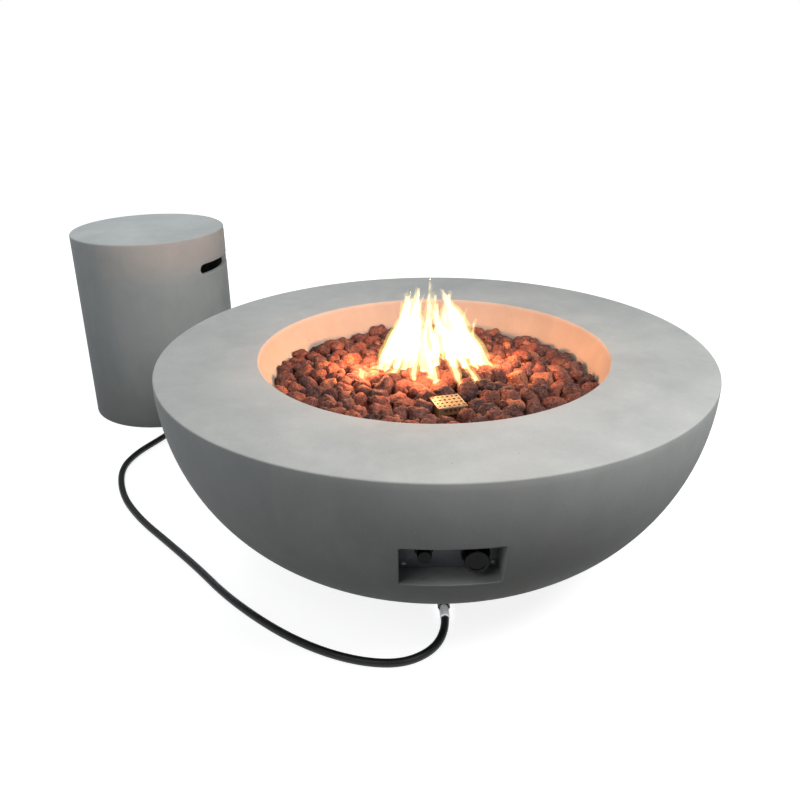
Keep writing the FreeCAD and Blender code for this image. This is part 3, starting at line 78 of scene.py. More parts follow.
# In crimp lengths: where the first band starts, and a band with the slope behind it.
FIRST_BAND, BAND_AND_SLOPE = 0.5, 1.3
BAND_ROUND, WAIST_ROUND = 0.0003, 0.0002
FERRULE_STEPS = 48
HOSE_START = Vector((0.006, -0.297, 0.012))
HOSE_END = Vector((-0.83752, 0.83877, 0.385))
HOSE_END_AXIS = Vector((0.2588, -0.9659, 0.0))
HOSE_ROUTE = [
    (0.006, -0.297, 0.012), (0.006, -0.333, 0.012), (-0.017, -0.385, 0.0076), (-0.069, -0.419, 0.0076),
    (-0.136, -0.416, 0.0076), (-0.216, -0.384, 0.0076), (-0.302, -0.324, 0.0076), (-0.402, -0.226, 0.0076),
    (-0.479, -0.126, 0.0076), (-0.563, -0.028, 0.0076), (-0.645, 0.066, 0.0076), (-0.713, 0.172, 0.0076),
    (-0.752, 0.296, 0.0076), (-0.739, 0.385, 0.0076), (-0.697, 0.466, 0.0076), (-0.668, 0.530, 0.0076),
    (-0.640, 0.594, 0.0076), (-0.604, 0.668, 0.012), (-0.562, 0.760, 0.048), (-0.583, 0.848, 0.126),
    (-0.648, 0.912, 0.212), (-0.722, 0.934, 0.296), (-0.787, 0.931, 0.362), (-0.82510, 0.88513, 0.385),
    (-0.83752, 0.83877, 0.385),
]


def linear(hex_colour):
    """An sRGB hex colour as linear red, green, blue and alpha."""
    shares = [int(hex_colour[k:k + 2], 16) / 255 for k in (1, 3, 5)]
    return [s / 12.92 if s <= 0.04045 else ((s + 0.055) / 1.055) ** 2.4 for s in shares] + [1.0]


def add_node(tree, kind, inputs=None, stops=(), **settings):
    """A node with its settings, its input values or links, and its ramp's (position, colour) stops."""
    node = tree.nodes.new(kind)
    for name, value in settings.items():
        setattr(node, name, value)
    for name, value in (inputs or {}).items():
        if isinstance(value, bpy.types.NodeSocket):
            tree.links.new(value, node.inputs[name])
        else:
            node.inputs[name].default_value = value
    for k, (position, colour) in enumerate(stops):
        stop = node.color_ramp.elements[k] if k < 2 else node.color_ramp.elements.new(position)
        stop.position = position
        stop.color = colour
    return node


def started_material(name, **finish):
    """A new material with its shader's plain values set. Returns the material, its tree, the shader and
    the place on the object in metres."""
    material = bpy.data.materials.new(name)
    material.use_nodes = True
    tree = material.node_tree
    shader = tree.nodes["Principled BSDF"]
    for socket, value in finish.items():
        shader.inputs[socket.replace("_", " ")].default_value = value
    place = add_node(tree, "ShaderNodeTexCoord").outputs["Object"]
    return material, tree, shader, place


def clouded_skin(name, tones, cloud, dullness, grain, relief, dulled_by_grain=False, **finish):
    """A skin whose colour drifts between tones, given as (share, colour), in clouds of a size and detail,
    with a fine grain of a size and detail that stands up by a depth and strength. The roughness drifts
    within the dullness, with the clouds, or with the grain where that is what dulls the skin."""
    material, tree, shader, place = started_material(name, **finish)
    clouds = add_node(tree, "ShaderNodeTexNoise", {
        "Vector": place, "Scale": 1 / cloud[0], "Detail": cloud[1]})
    colour = add_node(tree, "ShaderNodeValToRGB", {"Fac": clouds.outputs["Fac"]}, stops=[
        (share, linear(tone)) for share, tone in tones])
    tree.links.new(colour.outputs["Color"], shader.inputs["Base Color"])
    grains = add_node(tree, "ShaderNodeTexNoise", {
        "Vector": place, "Scale": 1 / grain[0], "Detail": grain[1]})
    dulling = grains if dulled_by_grain else clouds
    dull = add_node(tree, "ShaderNodeMapRange", {
        "Value": dulling.outputs["Fac"], "To Min": dullness[0], "To Max": dullness[1]})
    tree.links.new(dull.outputs["Result"], shader.inputs["Roughness"])
    bump = add_node(tree, "ShaderNodeBump", {
        "Height": grains.outputs["Fac"], "Distance": relief[0], "Strength": relief[1]})
    tree.links.new(bump.outputs["Normal"], shader.inputs["Normal"])
    return material


def extruded_rubber():
    """Extruded nitrile rubber: near black, satin, with a faint bloom of dust and a fine cloth imprint."""
    return clouded_skin("extruded_rubber", [(0.40, "#161617"), (0.70, "#262628")], cloud=(0.035, 5.0),
                        dullness=(0.38, 0.56), grain=(0.0012, 2.0), relief=(0.0002, 0.35))


def plated_steel(name, light, dark, grain, metallic=1.0):
    """Plated or mill-finish metal: bright, a little clouded, with fine scratches from handling, which are
    drawn coarser than they are so that they show."""
    return clouded_skin(name, [(0.35, dark), (0.65, light)], cloud=(0.012, 5.0), dullness=(0.24, 0.48),
                        grain=(grain, 3.0), relief=(0.0001, 0.2), dulled_by_grain=True, Metallic=metallic)


def rounded(corners, steps=4):
    """The outline through (radius, height, rounding) corners, with an arc at each rounded corner."""
    outline = []
    for k, (radius, height, rounding) in enumerate(corners):
        here = Vector((radius, height))
        if not rounding:
            outline.append((radius, height))
            continue
        before = (Vector(corners[k - 1][:2]) - here).normalized()
        after = (Vector(corners[(k + 1) % len(corners)][:2]) - here).normalized()
        half = before.angle(after) / 2
        middle = here + (before + after).normalized() * rounding / math.sin(half)
        start = here + before * rounding / math.tan(half) - middle
        end = here + after * rounding / math.tan(half) - middle
        sweep = math.atan2(start.x * end.y - start.y * end.x, start.dot(end))
        for step in range(steps + 1):
            outline.append(tuple(middle + Matrix.Rotation(sweep * step / steps, 2) @ start))
    return outline


def turned_piece(name, outline, steps, first_heading=0.0):
    """A single point, extruded along the (radius, height) outline and spun about the vertical. An outline
    that starts on the axis ends there, and any other is closed."""
    heading = Vector((math.cos(first_heading), math.sin(first_heading), 0))
    bpy.ops.object.select_all(action="DESELECT")
    bpy.ops.mesh.primitive_plane_add(size=0.001)
    piece = bpy.context.object
    piece.name = name
    bpy.ops.object.mode_set(mode="EDIT")
    bpy.ops.mesh.select_mode(type="VERT")
    bpy.ops.mesh.select_all(action="SELECT")
    bpy.ops.mesh.merge(type="CENTER")
    bpy.ops.transform.translate(value=heading * outline[0][0] + Vector((0, 0, outline[0][1])))
    ends = outline if outline[0][0] < 1e-6 else outline + outline[:1]
    for (r0, z0), (r1, z1) in zip(ends, ends[1:]):
        bpy.ops.mesh.extrude_vertices_move(
            TRANSFORM_OT_translate={"value": heading * (r1 - r0) + Vector((0, 0, z1 - z0))})
    bpy.ops.mesh.select_all(action="SELECT")
    bpy.ops.mesh.spin(steps=steps, angle=math.tau, center=(0, 0, 0), axis=(0, 0, 1))
    bpy.ops.mesh.select_all(action="SELECT")
    bpy.ops.mesh.remove_doubles(threshold=1e-6)
    bpy.ops.mesh.normals_make_consistent(inside=False)
    bpy.ops.object.mode_set(mode="OBJECT")
    return piece


def only(piece):
    """Selects one object and makes it active."""
    bpy.ops.object.select_all(action="DESELECT")
    piece.select_set(True)
    bpy.context.view_layer.objects.active = piece


def laid(piece, place, axis=(0, 0, 1), turn=0.0):
    """Lays the piece's own Z along the axis, at the place, and leaves its object at the origin."""
    only(piece)
    lean = Vector((0, 0, 1)).rotation_difference(Vector(axis))
    piece.matrix_world = Matrix.Translation(place) @ lean.to_matrix().to_4x4() @ Matrix.Rotation(turn, 4, "Z")
    bpy.ops.object.transform_apply(location=True, rotation=True, scale=True)
    return piece


def finished(piece, body, material, slot, *replaced, smooth=35.0):
    """Shades the piece, gives it its material, and says what it rides on and stands for."""
    only(piece)
    piece.data.materials.clear()
    piece.data.materials.append(material)
    bpy.ops.object.shade_smooth_by_angle(angle=math.radians(smooth))
    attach(piece, body)
    if replaced:
        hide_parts(*replaced)
    return piece


rubber = extruded_rubber()
line = bpy.data.curves.new("gas_hose_rubber", "CURVE")
line.dimensions = "3D"
line.bevel_depth = HOSE_RADIUS
line.bevel_resolution = 7
line.resolution_u = 16
spline = line.splines.new("NURBS")
spline.points.add(len(HOSE_ROUTE) - 1)
for point, place in zip(spline.points, HOSE_ROUTE):
    point.co = (*place, 1.0)
spline.order_u = 3
spline.use_endpoint_u = True
line.materials.append(rubber)
hose = bpy.data.objects.new("gas_hose_rubber", line)
bpy.context.scene.collection.objects.link(hose)
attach(hose, "bowl")
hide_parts("gas_hose")


def crimped_ferrule(name, lap):
    """A steel sleeve pressed onto the hose in bands, that laps this far over the rubber."""
    crimp = (FERRULE_LENGTH + lap) / (2 * FERRULE_BANDS + 1)
    bands = [(0.0, -lap, 0.0), (FERRULE_WAIST, -lap, 0.0)]
    for band in range(FERRULE_BANDS):
        edge = crimp * (2 * band + FIRST_BAND) - lap
        bands += [(FERRULE_RADIUS, edge, BAND_ROUND), (FERRULE_RADIUS, edge + crimp, BAND_ROUND),
                  (FERRULE_WAIST, edge + BAND_AND_SLOPE * crimp, WAIST_ROUND)]
    bands += [(FERRULE_WAIST, FERRULE_LENGTH, 0.0), (0.0, FERRULE_LENGTH, 0.0)]
    return turned_piece(name, rounded(bands, 2), FERRULE_STEPS)


zinc = plated_steel("zinc_plated_steel", "#c9cccf", "#a2a6ab", 0.0008)
# The tin on the ferrules is matt, and scatters more light than it mirrors.
tinned = plated_steel("tinned_steel", "#f2f4f5", "#d3d6d8", 0.0015, metallic=0.12)
for name, end, axis, lap in (("bowl_end", HOSE_START, Vector((0, 1, 0)), FERRULE_LAP),
                             ("regulator_end", HOSE_END, HOSE_END_AXIS, 0.0)):
    ferrule = laid(crimped_ferrule(f"crimped_ferrule_{name}", lap), end, axis)
    finished(ferrule, "bowl", tinned, "zinc_steel", f"{name}_ferrule")

# -------------------------------------------------------------------------------------------------
# Concrete bowl
# One hollow casting in glass-fibre concrete, 1067 mm across: flat rim, elliptical side, a foot ring set
# back under it, a well for the fire and a niche for the controls. It is sanded after casting and sealed.
# -------------------------------------------------------------------------------------------------
RIM_R, RIM_Z = 0.5335, 0.419
UNDERSIDE_R, SIDE_DROP = 0.200, 0.380
SHELL_WALL, RIM_THICK = 0.015, 0.022
FOOT_R, FOOT_WALL, BASE_HOLE_R = 0.185, 0.030, 0.110
WELL_R, WELL_FOOT_R, LEDGE_R = 0.340, 0.309, 0.282
WELL_DEPTH, WELL_WALL, LEDGE_THICK = 0.086, 0.014, 0.012
CAST_ROUND, FOOT_ROUND, LEDGE_ROUND, BASE_HOLE_ROUND = 0.003, 0.004, 0.001, 0.002
NICHE_W, NICHE_H, NICHE_MID_Z = 0.160, 0.090, 0.252
NICHE_SEAT_Y, NICHE_WALL, NICHE_LIP = -0.426, 0.012, 0.013
NICHE_MOUTH_Y, NICHE_MOUTH_ROUND = -0.450, 0.0025
NICHE_CORNER, WINDOW_CORNER = 0.003, 0.002
NICHE_CUT = 0.300
POCKET_DEPTH, POCKET_TOP_Y, POCKET_LOW_Y = 0.100, -0.508, -0.456
HOSE_NOTCH, HOSE_NOTCH_CORNER = (0.044, 0.060, 0.028), 0.006
BELOW_GROUND = 0.020
BOWL_STEPS = 232
SIDE_STEPS = 46
SHARP = math.radians(40)
# Places that are nearer than this are taken as one.
TOUCH = 1e-4
BROWNED_ABOVE = (0.31, 0.33)
BROWNED_WITHIN = (0.342, 0.337)
# Painted shade towards the ground: its share at the ground, and for the bowl the height it reaches up to and
# the tone it darkens to.
PAINTED_SHADE_MOST = 0.75
BOWL_PAINTED_SHADE = (0.26, "#dcdcda")


def sealed_concrete(name, shade_reach, shade_tone):
    """Glass-fibre concrete, cast, sanded and sealed: matt grey, cloudy where the cement dried unevenly,
    with faint rubbing marks and a scatter of pinholes left by air at the mould, which are darkened with
    painted shade. The sand, finer than a millimetre, is drawn coarser so that it shows. The wall of the
    well is a little browned by the fire, and painted shade darkens the casting towards the ground, from
    the given height down, to the given tone."""
    material, tree, shader, place = started_material(name, Specular_IOR_Level=0.35)
    cloud = add_node(tree, "ShaderNodeTexNoise", {
        "Vector": place, "Scale": 1 / 0.16, "Detail": 7.0, "Roughness": 0.62, "Distortion": 0.4})
    colour = add_node(tree, "ShaderNodeValToRGB", {"Fac": cloud.outputs["Fac"]}, stops=[
        (0.32, linear("#a4a7a6")), (0.68, linear("#b5b7b5"))])
    stretched = add_node(tree, "ShaderNodeMapping", {"Vector": place, "Scale": (1.0, 1.0, 0.22)})
    run = add_node(tree, "ShaderNodeTexNoise", {
        "Vector": stretched.outputs["Vector"], "Scale": 1 / 0.045, "Detail": 6.0, "Roughness": 0.6})
    run_share = add_node(tree, "ShaderNodeMapRange", {
        "Value": run.outputs["Fac"], "From Min": 0.48, "From Max": 0.75, "To Min": 0.0, "To Max": 0.30})
    rubbed = add_node(tree, "ShaderNodeMix", {
        0: run_share.outputs["Result"], 6: colour.outputs["Color"], 7: linear("#c3c4c0")}, data_type="RGBA")
    stain = add_node(tree, "ShaderNodeTexNoise", {"Vector": place, "Scale": 1 / 0.33, "Detail": 3.0})
    stain_share = add_node(tree, "ShaderNodeMapRange", {
        "Value": stain.outputs["Fac"], "From Min": 0.58, "From Max": 0.80, "To Min": 0.0, "To Max": 0.35})
    stained = add_node(tree, "ShaderNodeMix", {
        0: stain_share.outputs["Result"], 6: rubbed.outputs[2], 7: linear("#a79d92")}, data_type="RGBA")
    sand = add_node(tree, "ShaderNodeTexNoise", {"Vector": place, "Scale": 1 / 0.0022, "Detail": 3.0})
    sand_share = add_node(tree, "ShaderNodeMapRange", {
        "Value": sand.outputs["Fac"], "From Min": 0.3, "From Max": 0.7, "To Min": 0.0, "To Max": 0.16})
    sanded = add_node(tree, "ShaderNodeMix", {
        0: sand_share.outputs["Result"], 6: stained.outputs[2], 7: linear("#83868a")}, data_type="RGBA")
    pores = add_node(tree, "ShaderNodeTexVoronoi", {"Vector": place, "Scale": 1 / 0.020})
    pore_size = add_node(tree, "ShaderNodeSeparateColor", {"Color": pores.outputs["Color"]})
    pore_reach = add_node(tree, "ShaderNodeMapRange", {
        "Value": pore_size.outputs["Red"], "From Min": 0.62, "From Max": 1.0, "To Min": 0.0, "To Max": 0.055})
    pore = add_node(tree, "ShaderNodeMath", {
        0: pores.outputs["Distance"], 1: pore_reach.outputs["Result"]}, operation="LESS_THAN")
    # Painted shade: the pinholes are darkened, as shade falls in them.
    pore_shaded = add_node(tree, "ShaderNodeMix", {
        0: pore.outputs["Value"], 6: sanded.outputs[2], 7: linear("#5d5f60")}, data_type="RGBA")
    height = add_node(tree, "ShaderNodeSeparateXYZ", {"Vector": place})
    above = add_node(tree, "ShaderNodeMapRange", {
        "Value": height.outputs["Z"], "From Min": BROWNED_ABOVE[0], "From Max": BROWNED_ABOVE[1]})
    level = add_node(tree, "ShaderNodeVectorMath", {0: place, 1: (1.0, 1.0, 0.0)}, operation="MULTIPLY")
    reach = add_node(tree, "ShaderNodeVectorMath", {0: level.outputs["Vector"]}, operation="LENGTH")
    within = add_node(tree, "ShaderNodeMapRange", {
        "Value": reach.outputs["Value"], "From Min": BROWNED_WITHIN[0], "From Max": BROWNED_WITHIN[1]})
    well = add_node(tree, "ShaderNodeMath", {0: above.outputs["Result"], 1: within.outputs["Result"]},
                    operation="MULTIPLY")
    browned = add_node(tree, "ShaderNodeMix", {
        0: well.outputs["Value"], 6: pore_shaded.outputs[2], 7: linear("#f0e0d2")}, data_type="RGBA",
        blend_type="MULTIPLY")
    # Painted shade: the casting darkens towards the ground, from the given height down.
    painted_foot_shade = add_node(tree, "ShaderNodeMapRange", {
        "Value": height.outputs["Z"], "From Max": shade_reach, "To Min": PAINTED_SHADE_MOST, "To Max": 0.0})
    foot_shaded = add_node(tree, "ShaderNodeMix", {
        0: painted_foot_shade.outputs["Result"], 6: browned.outputs[2], 7: linear(shade_tone)}, data_type="RGBA",
        blend_type="MULTIPLY")
    tree.links.new(foot_shaded.outputs[2], shader.inputs["Base Color"])
    dull = add_node(tree, "ShaderNodeMapRange", {
        "Value": cloud.outputs["Fac"], "To Min": 0.66, "To Max": 0.90})
    tree.links.new(dull.outputs["Result"], shader.inputs["Roughness"])
    grain = add_node(tree, "ShaderNodeBump", {
        "Height": sand.outputs["Fac"], "Distance": 0.0004, "Strength": 0.35})
    holes = add_node(tree, "ShaderNodeBump", {
        "Height": pore.outputs["Value"], "Normal": grain.outputs["Normal"], "Distance": 0.0010,
        "Strength": 0.8}, invert=True)
    tree.links.new(holes.outputs["Normal"], shader.inputs["Normal"])
    return material


def combined(piece, tool, operation="DIFFERENCE"):
    """Cuts the piece by a tool solid or joins it with it, and deletes the tool."""
    only(piece)
    modifier = piece.modifiers.new(operation.lower(), "BOOLEAN")
    modifier.operation = operation
    modifier.object = tool
    modifier.solver = "EXACT"
    bpy.ops.object.modifier_apply(modifier=modifier.name)
    bpy.data.objects.remove(tool)
    return piece


def with_round_edges(piece, wanted, radius, segments=3, sharper=0.0):
    """Rounds the edges between wanted ends where they are sharper than an angle."""
    only(piece)
    bpy.ops.object.mode_set(mode="EDIT")
    bpy.ops.mesh.select_all(action="DESELECT")
    bpy.ops.mesh.select_mode(type="EDGE")
    mesh = bmesh.from_edit_mesh(piece.data)
    for edge in mesh.edges:
        if wanted(edge.verts[0].co, edge.verts[1].co) and edge.calc_face_angle(math.pi) >= sharper:
            edge.select_set(True)
    bmesh.update_edit_mesh(piece.data)
    bpy.ops.mesh.bevel(offset=radius, segments=segments, affect="EDGES")
    bpy.ops.object.mode_set(mode="OBJECT")


def block_tool(size, middle, round_axis=None, rounding=0.0, turn=0.0):
    """A cutting block, with the four edges along one of its axes rounded."""
    bpy.ops.object.select_all(action="DESELECT")
    bpy.ops.mesh.primitive_cube_add(size=1.0)
    tool = bpy.context.object
    tool.scale = size
    bpy.ops.object.transform_apply(scale=True)
    if rounding:
        with_round_edges(tool, lambda a, b: abs((a - b)[round_axis]) > (a - b).length * 0.99, rounding, 8)
    return laid(tool, middle, turn=turn)


def side_points(wall, top_z):
    """The elliptical side, a wall's thickness in from the outside, from the underside up to top_z."""
    reach = RIM_R - UNDERSIDE_R - wall
    drop = SIDE_DROP - wall
    last = math.acos((RIM_Z - top_z) / drop)
    turns = [last * k / SIDE_STEPS for k in range(SIDE_STEPS + 1)]
    return [(UNDERSIDE_R + reach * math.sin(turn), RIM_Z - drop * math.cos(turn)) for turn in turns]


concrete = sealed_concrete("cast_concrete_sealed", *BOWL_PAINTED_SHADE)
underside_z = RIM_Z - SIDE_DROP
ledge_z = RIM_Z - WELL_DEPTH
under_rim_z = RIM_Z - RIM_THICK
well_lean = (WELL_R - WELL_FOOT_R) / WELL_DEPTH
outside = [(r, z, 0.0) for r, z in side_points(0.0, RIM_Z - CAST_ROUND)[:-1]]
inside = [(r, z, 0.0) for r, z in reversed(side_points(SHELL_WALL, under_rim_z))]
casting = outside + [
    (RIM_R, RIM_Z, CAST_ROUND), (WELL_R, RIM_Z, CAST_ROUND), (WELL_FOOT_R, ledge_z, CAST_ROUND),
    (LEDGE_R, ledge_z, LEDGE_ROUND), (LEDGE_R, ledge_z - LEDGE_THICK, LEDGE_ROUND),
    (WELL_FOOT_R + WELL_WALL, ledge_z - LEDGE_THICK, 0.0),
    (WELL_R - well_lean * RIM_THICK + WELL_WALL, under_rim_z, 0.0)] + inside + [
    (BASE_HOLE_R, underside_z + SHELL_WALL, BASE_HOLE_ROUND), (BASE_HOLE_R, underside_z, BASE_HOLE_ROUND),
    (FOOT_R - FOOT_WALL, underside_z, CAST_ROUND), (FOOT_R - FOOT_WALL, 0.0, FOOT_ROUND),
    (FOOT_R, 0.0, FOOT_ROUND), (FOOT_R, underside_z, CAST_ROUND)]
# Starting half a step round puts the middle of a facet, and not an edge, in line with the niche.
bowl = turned_piece("concrete_bowl", rounded(casting), BOWL_STEPS, math.pi / BOWL_STEPS - math.pi / 2)

pocket = block_tool((NICHE_W + 2 * NICHE_WALL, POCKET_DEPTH, NICHE_H + 2 * NICHE_WALL),
                    (0, NICHE_SEAT_Y + NICHE_WALL - POCKET_DEPTH / 2, NICHE_MID_Z))
for corner in pocket.data.vertices:
    if corner.co.y < NICHE_SEAT_Y:
        corner.co.y = POCKET_TOP_Y if corner.co.z > NICHE_MID_Z else POCKET_LOW_Y
combined(bowl, pocket, "UNION")
recess = block_tool((NICHE_W, NICHE_CUT, NICHE_H), (0, NICHE_SEAT_Y - NICHE_CUT / 2, NICHE_MID_Z), 1,
                    NICHE_CORNER)
combined(bowl, recess)
window = (NICHE_W - 2 * NICHE_LIP, 4 * NICHE_WALL, NICHE_H - 2 * NICHE_LIP)
combined(bowl, block_tool(window, (0, NICHE_SEAT_Y, NICHE_MID_Z), 1, WINDOW_CORNER))
notch_w, notch_l, notch_h = HOSE_NOTCH
hose_way = block_tool(
    (notch_w, notch_l, notch_h + BELOW_GROUND),
    (HOSE_START.x, -(FOOT_R - FOOT_WALL / 2), (notch_h - BELOW_GROUND) / 2), 1, HOSE_NOTCH_CORNER)
combined(bowl, hose_way)


def on_niche_mouth(a, b):
    """Whether both ends of an edge lie on the niche's mouth."""
    return all(abs(p.x) < NICHE_W / 2 + TOUCH and abs(p.z - NICHE_MID_Z) < NICHE_H / 2 + TOUCH
               and p.y < NICHE_MOUTH_Y for p in (a, b))


with_round_edges(bowl, on_niche_mouth, NICHE_MOUTH_ROUND, sharper=SHARP)
finished(bowl, "bowl", concrete, "concrete", "bowl_shell", smooth=30.0)

# -------------------------------------------------------------------------------------------------
# Control panel
# A powder-coated steel plate screwed to the seat in the niche with four zinc-plated pan-head screws,
# and behind the knob the nut that holds the gas valve's neck.
# -------------------------------------------------------------------------------------------------
PANEL_THICK, PANEL_GAP, PANEL_CORNER, PANEL_EDGE = 0.002, 0.001, 0.004, 0.0004
CONTROLS_Z, KNOB_X, IGNITER_X = 0.244, 0.041, -0.039
NECK_HOLE_R, IGNITER_HOLE_R, PUNCH_LENGTH = 0.0081, 0.0110, 0.020
SCREW_X, SCREW_Z = 0.072, 0.037
SCREW_HEAD_R, SCREW_HEAD_H = 0.0046, 0.0028
# The share of the head's height and radius at which its crown bends.
SCREW_CROWN = 0.55
SCREW_NECK_R, SCREW_NECK_L = 0.0022, 0.004
RECESS_L, RECESS_W, RECESS_CUT = 0.0050, 0.0011, 0.0030


def powder_coat(name, light, dark):
    """Powder-coated steel: a thin even skin with a fine orange-peel, dusty in places."""
    return clouded_skin(name, [(0.35, dark), (0.70, light)], cloud=(0.040, 5.0), dullness=(0.40, 0.60),
                        grain=(0.0015, 1.0), relief=(0.0001, 0.4))


def rod_tool(radius, length, place, axis, sides=48):
    """A cutting rod that starts at the place and points along the axis."""
    bpy.ops.object.select_all(action="DESELECT")
    bpy.ops.mesh.primitive_cylinder_add(
        vertices=sides, radius=radius, depth=length, location=(0, 0, length / 2))
    tool = bpy.context.object
    bpy.ops.object.transform_apply(location=True)
    return laid(tool, place, axis)


def broken_edges(piece, width, segments=2, angle=35.0):
    """Breaks the sharp edges of a piece, as a file or a mould does."""
    only(piece)
    modifier = piece.modifiers.new("broken_edges", "BEVEL")
    modifier.width = width
    modifier.segments = segments
    modifier.limit_method = "ANGLE"
    modifier.angle_limit = math.radians(angle)
    bpy.ops.object.modifier_apply(modifier=modifier.name)
    return piece


def merged(name, pieces):
    """Several meshes made one object."""
    bpy.ops.object.select_all(action="DESELECT")
    for piece in pieces:
        piece.select_set(True)
    bpy.context.view_layer.objects.active = pieces[0]
    bpy.ops.object.join()
    pieces[0].name = name
    return pieces[0]


panel_front_y = NICHE_SEAT_Y - PANEL_THICK
panel = block_tool((NICHE_W - 2 * PANEL_GAP, PANEL_THICK, NICHE_H - 2 * PANEL_GAP),
                   (0, NICHE_SEAT_Y - PANEL_THICK / 2, NICHE_MID_Z), 1, PANEL_CORNER)
for x, radius in ((KNOB_X, NECK_HOLE_R), (IGNITER_X, IGNITER_HOLE_R)):
    punch = rod_tool(radius, PUNCH_LENGTH, (x, NICHE_SEAT_Y + PUNCH_LENGTH / 2, CONTROLS_Z), (0, -1, 0))
    combined(panel, punch)
broken_edges(panel, PANEL_EDGE)
panel.name = "coated_panel"
finished(panel, "bowl", powder_coat("grey_powder_coat", "#a0a2a6", "#929498"), "panel_grey", "control_panel")


def pan_head_screw(place, axis, turn):
    """A pan-head screw with a cross recess. The place is under its head."""
    crown = rounded([
        (0.0, -SCREW_NECK_L, 0.0), (SCREW_NECK_R, -SCREW_NECK_L, 0.0), (SCREW_NECK_R, 0.0, 0.0),
        (SCREW_HEAD_R, 0.0, 0.0002), (SCREW_HEAD_R, SCREW_HEAD_H * SCREW_CROWN, 0.0010),
        (SCREW_HEAD_R * SCREW_CROWN, SCREW_HEAD_H, 0.0012), (0.0, SCREW_HEAD_H, 0.0)], 3)
    head = turned_piece("screw", crown, 40)
    for length, width in ((RECESS_L, RECESS_W), (RECESS_W, RECESS_L)):
        combined(head, block_tool((length, width, RECESS_CUT), (0, 0, SCREW_HEAD_H)))
    return laid(head, place, axis, turn)


# Each screw was driven home at an angle of its own.
screws = [pan_head_screw((x, panel_front_y, NICHE_MID_Z + z), (0, -1, 0), 0.4 + 9 * x + 25 * z)
          for x in (-SCREW_X, SCREW_X) for z in (-SCREW_Z, SCREW_Z)]
finished(merged("panel_pan_head_screws", screws), "bowl", zinc, "zinc_steel", "panel_screws")

# -------------------------------------------------------------------------------------------------
# Control knob and igniter button
# Both are moulded in black phenolic. The knob is fluted, with a skirt at the back and a pointer groove
# in its dished face. The button is a tapered cap with a domed end, in a barrel with a bezel.
# -------------------------------------------------------------------------------------------------
KNOB_R, KNOB_DEPTH, KNOB_BACK_Y = 0.023, 0.028, -0.442
KNOB_FRONT_R = KNOB_R * 0.9
KNOB_SKIRT, KNOB_SKIRT_SLOPE = 0.004, 0.0015
KNOB_FLUTES, KNOB_FLUTE_R = 12, 0.0036
KNOB_BORE_R, KNOB_BORE_END = 0.0041, 0.0158
KNOB_DISH, KNOB_DISH_MIDDLE, KNOB_EDGE = 0.0012, 0.0009, 0.0005
POINTER_W, POINTER_CUT = 0.0016, 0.0030
# Shares of the front's radius: the end of the fluted taper, the rim and the foot of the dished face, and
# the pointer groove's length and middle.
KNOB_TAPER_END, FACE_RIM, FACE_FOOT, POINTER_LONG, POINTER_MIDDLE = 0.97, 0.72, 0.66, 0.62, 0.64
# The share of a flute's radius by which its middle stands off the front's edge.
FLUTE_STAND_OFF = 0.45
BUTTON_R, BUTTON_FRONT_R, BUTTON_DEPTH, BUTTON_BACK_Y = 0.0125, 0.0113, 0.018, -0.437
BUTTON_STEM_R, BUTTON_STEM_L, BUTTON_DOME = 0.006, 0.026, 0.0006
BEZEL_R, BEZEL_H, BEZEL_DISH, BEZEL_DISH_R = 0.015, 0.003, 0.001, 0.010
BARREL_R, BARREL_BORE_R, BARREL_L = 0.0109, 0.00605, 0.055


def moulded_phenolic():
    """Moulded phenolic: black, satin, with a faint mould texture and skin grease that dulls it in patches."""
    return clouded_skin("moulded_phenolic", [(0.40, "#0e0e0f"), (0.75, "#18181a")], cloud=(0.010, 4.0),
                        dullness=(0.34, 0.52), grain=(0.0007, 2.0), relief=(0.0001, 0.2),
                        Specular_IOR_Level=0.14)


phenolic = moulded_phenolic()
knob = turned_piece("fluted_knob", rounded([
    (0.0, KNOB_BORE_END, 0.0), (KNOB_BORE_R, KNOB_BORE_END, 0.0), (KNOB_BORE_R, 0.0, 0.0),
    (KNOB_R, 0.0, 0.0006), (KNOB_R, KNOB_SKIRT, 0.0012),
    (KNOB_FRONT_R, KNOB_SKIRT + KNOB_SKIRT_SLOPE, 0.0008),
    (KNOB_FRONT_R * KNOB_TAPER_END, KNOB_DEPTH, 0.0020),
    (KNOB_FRONT_R * FACE_RIM, KNOB_DEPTH, 0.0008), (KNOB_FRONT_R * FACE_FOOT, KNOB_DEPTH - KNOB_DISH, 0.0008),
    (0.0, KNOB_DEPTH - KNOB_DISH_MIDDLE, 0.0)], 4), 144)
flute_reach = KNOB_FRONT_R + KNOB_FLUTE_R * FLUTE_STAND_OFF
flutes = []
for k in range(KNOB_FLUTES):
    angle = math.tau * (k + 0.5) / KNOB_FLUTES
    foot = (flute_reach * math.cos(angle), flute_reach * math.sin(angle), KNOB_SKIRT + KNOB_SKIRT_SLOPE)
    flutes.append(rod_tool(KNOB_FLUTE_R, KNOB_DEPTH, foot, (0, 0, 1), 32))
combined(knob, merged("flutes", flutes))
pointer = block_tool((POINTER_W, KNOB_FRONT_R * POINTER_LONG, POINTER_CUT),
                     (0, KNOB_FRONT_R * POINTER_MIDDLE, KNOB_DEPTH))
combined(knob, pointer)
broken_edges(knob, KNOB_EDGE, 2, 40.0)
laid(knob, (KNOB_X, KNOB_BACK_Y, CONTROLS_Z), (0, -1, 0))
finished(knob, "knob", phenolic, "black_plastic", "control_knob", smooth=40.0)

button = turned_piece("igniter_cap", rounded([
    (0.0, -BUTTON_STEM_L, 0.0), (BUTTON_STEM_R, -BUTTON_STEM_L, 0.0008), (BUTTON_STEM_R, 0.0, 0.0),
    (BUTTON_R, 0.0, 0.0006), (BUTTON_FRONT_R, BUTTON_DEPTH - BUTTON_DOME, 0.0024),
    (0.0, BUTTON_DEPTH, 0.0)], 5), 96)
laid(button, (IGNITER_X, BUTTON_BACK_Y, CONTROLS_Z), (0, -1, 0))
finished(button, "button", phenolic, "black_plastic", "igniter_button")

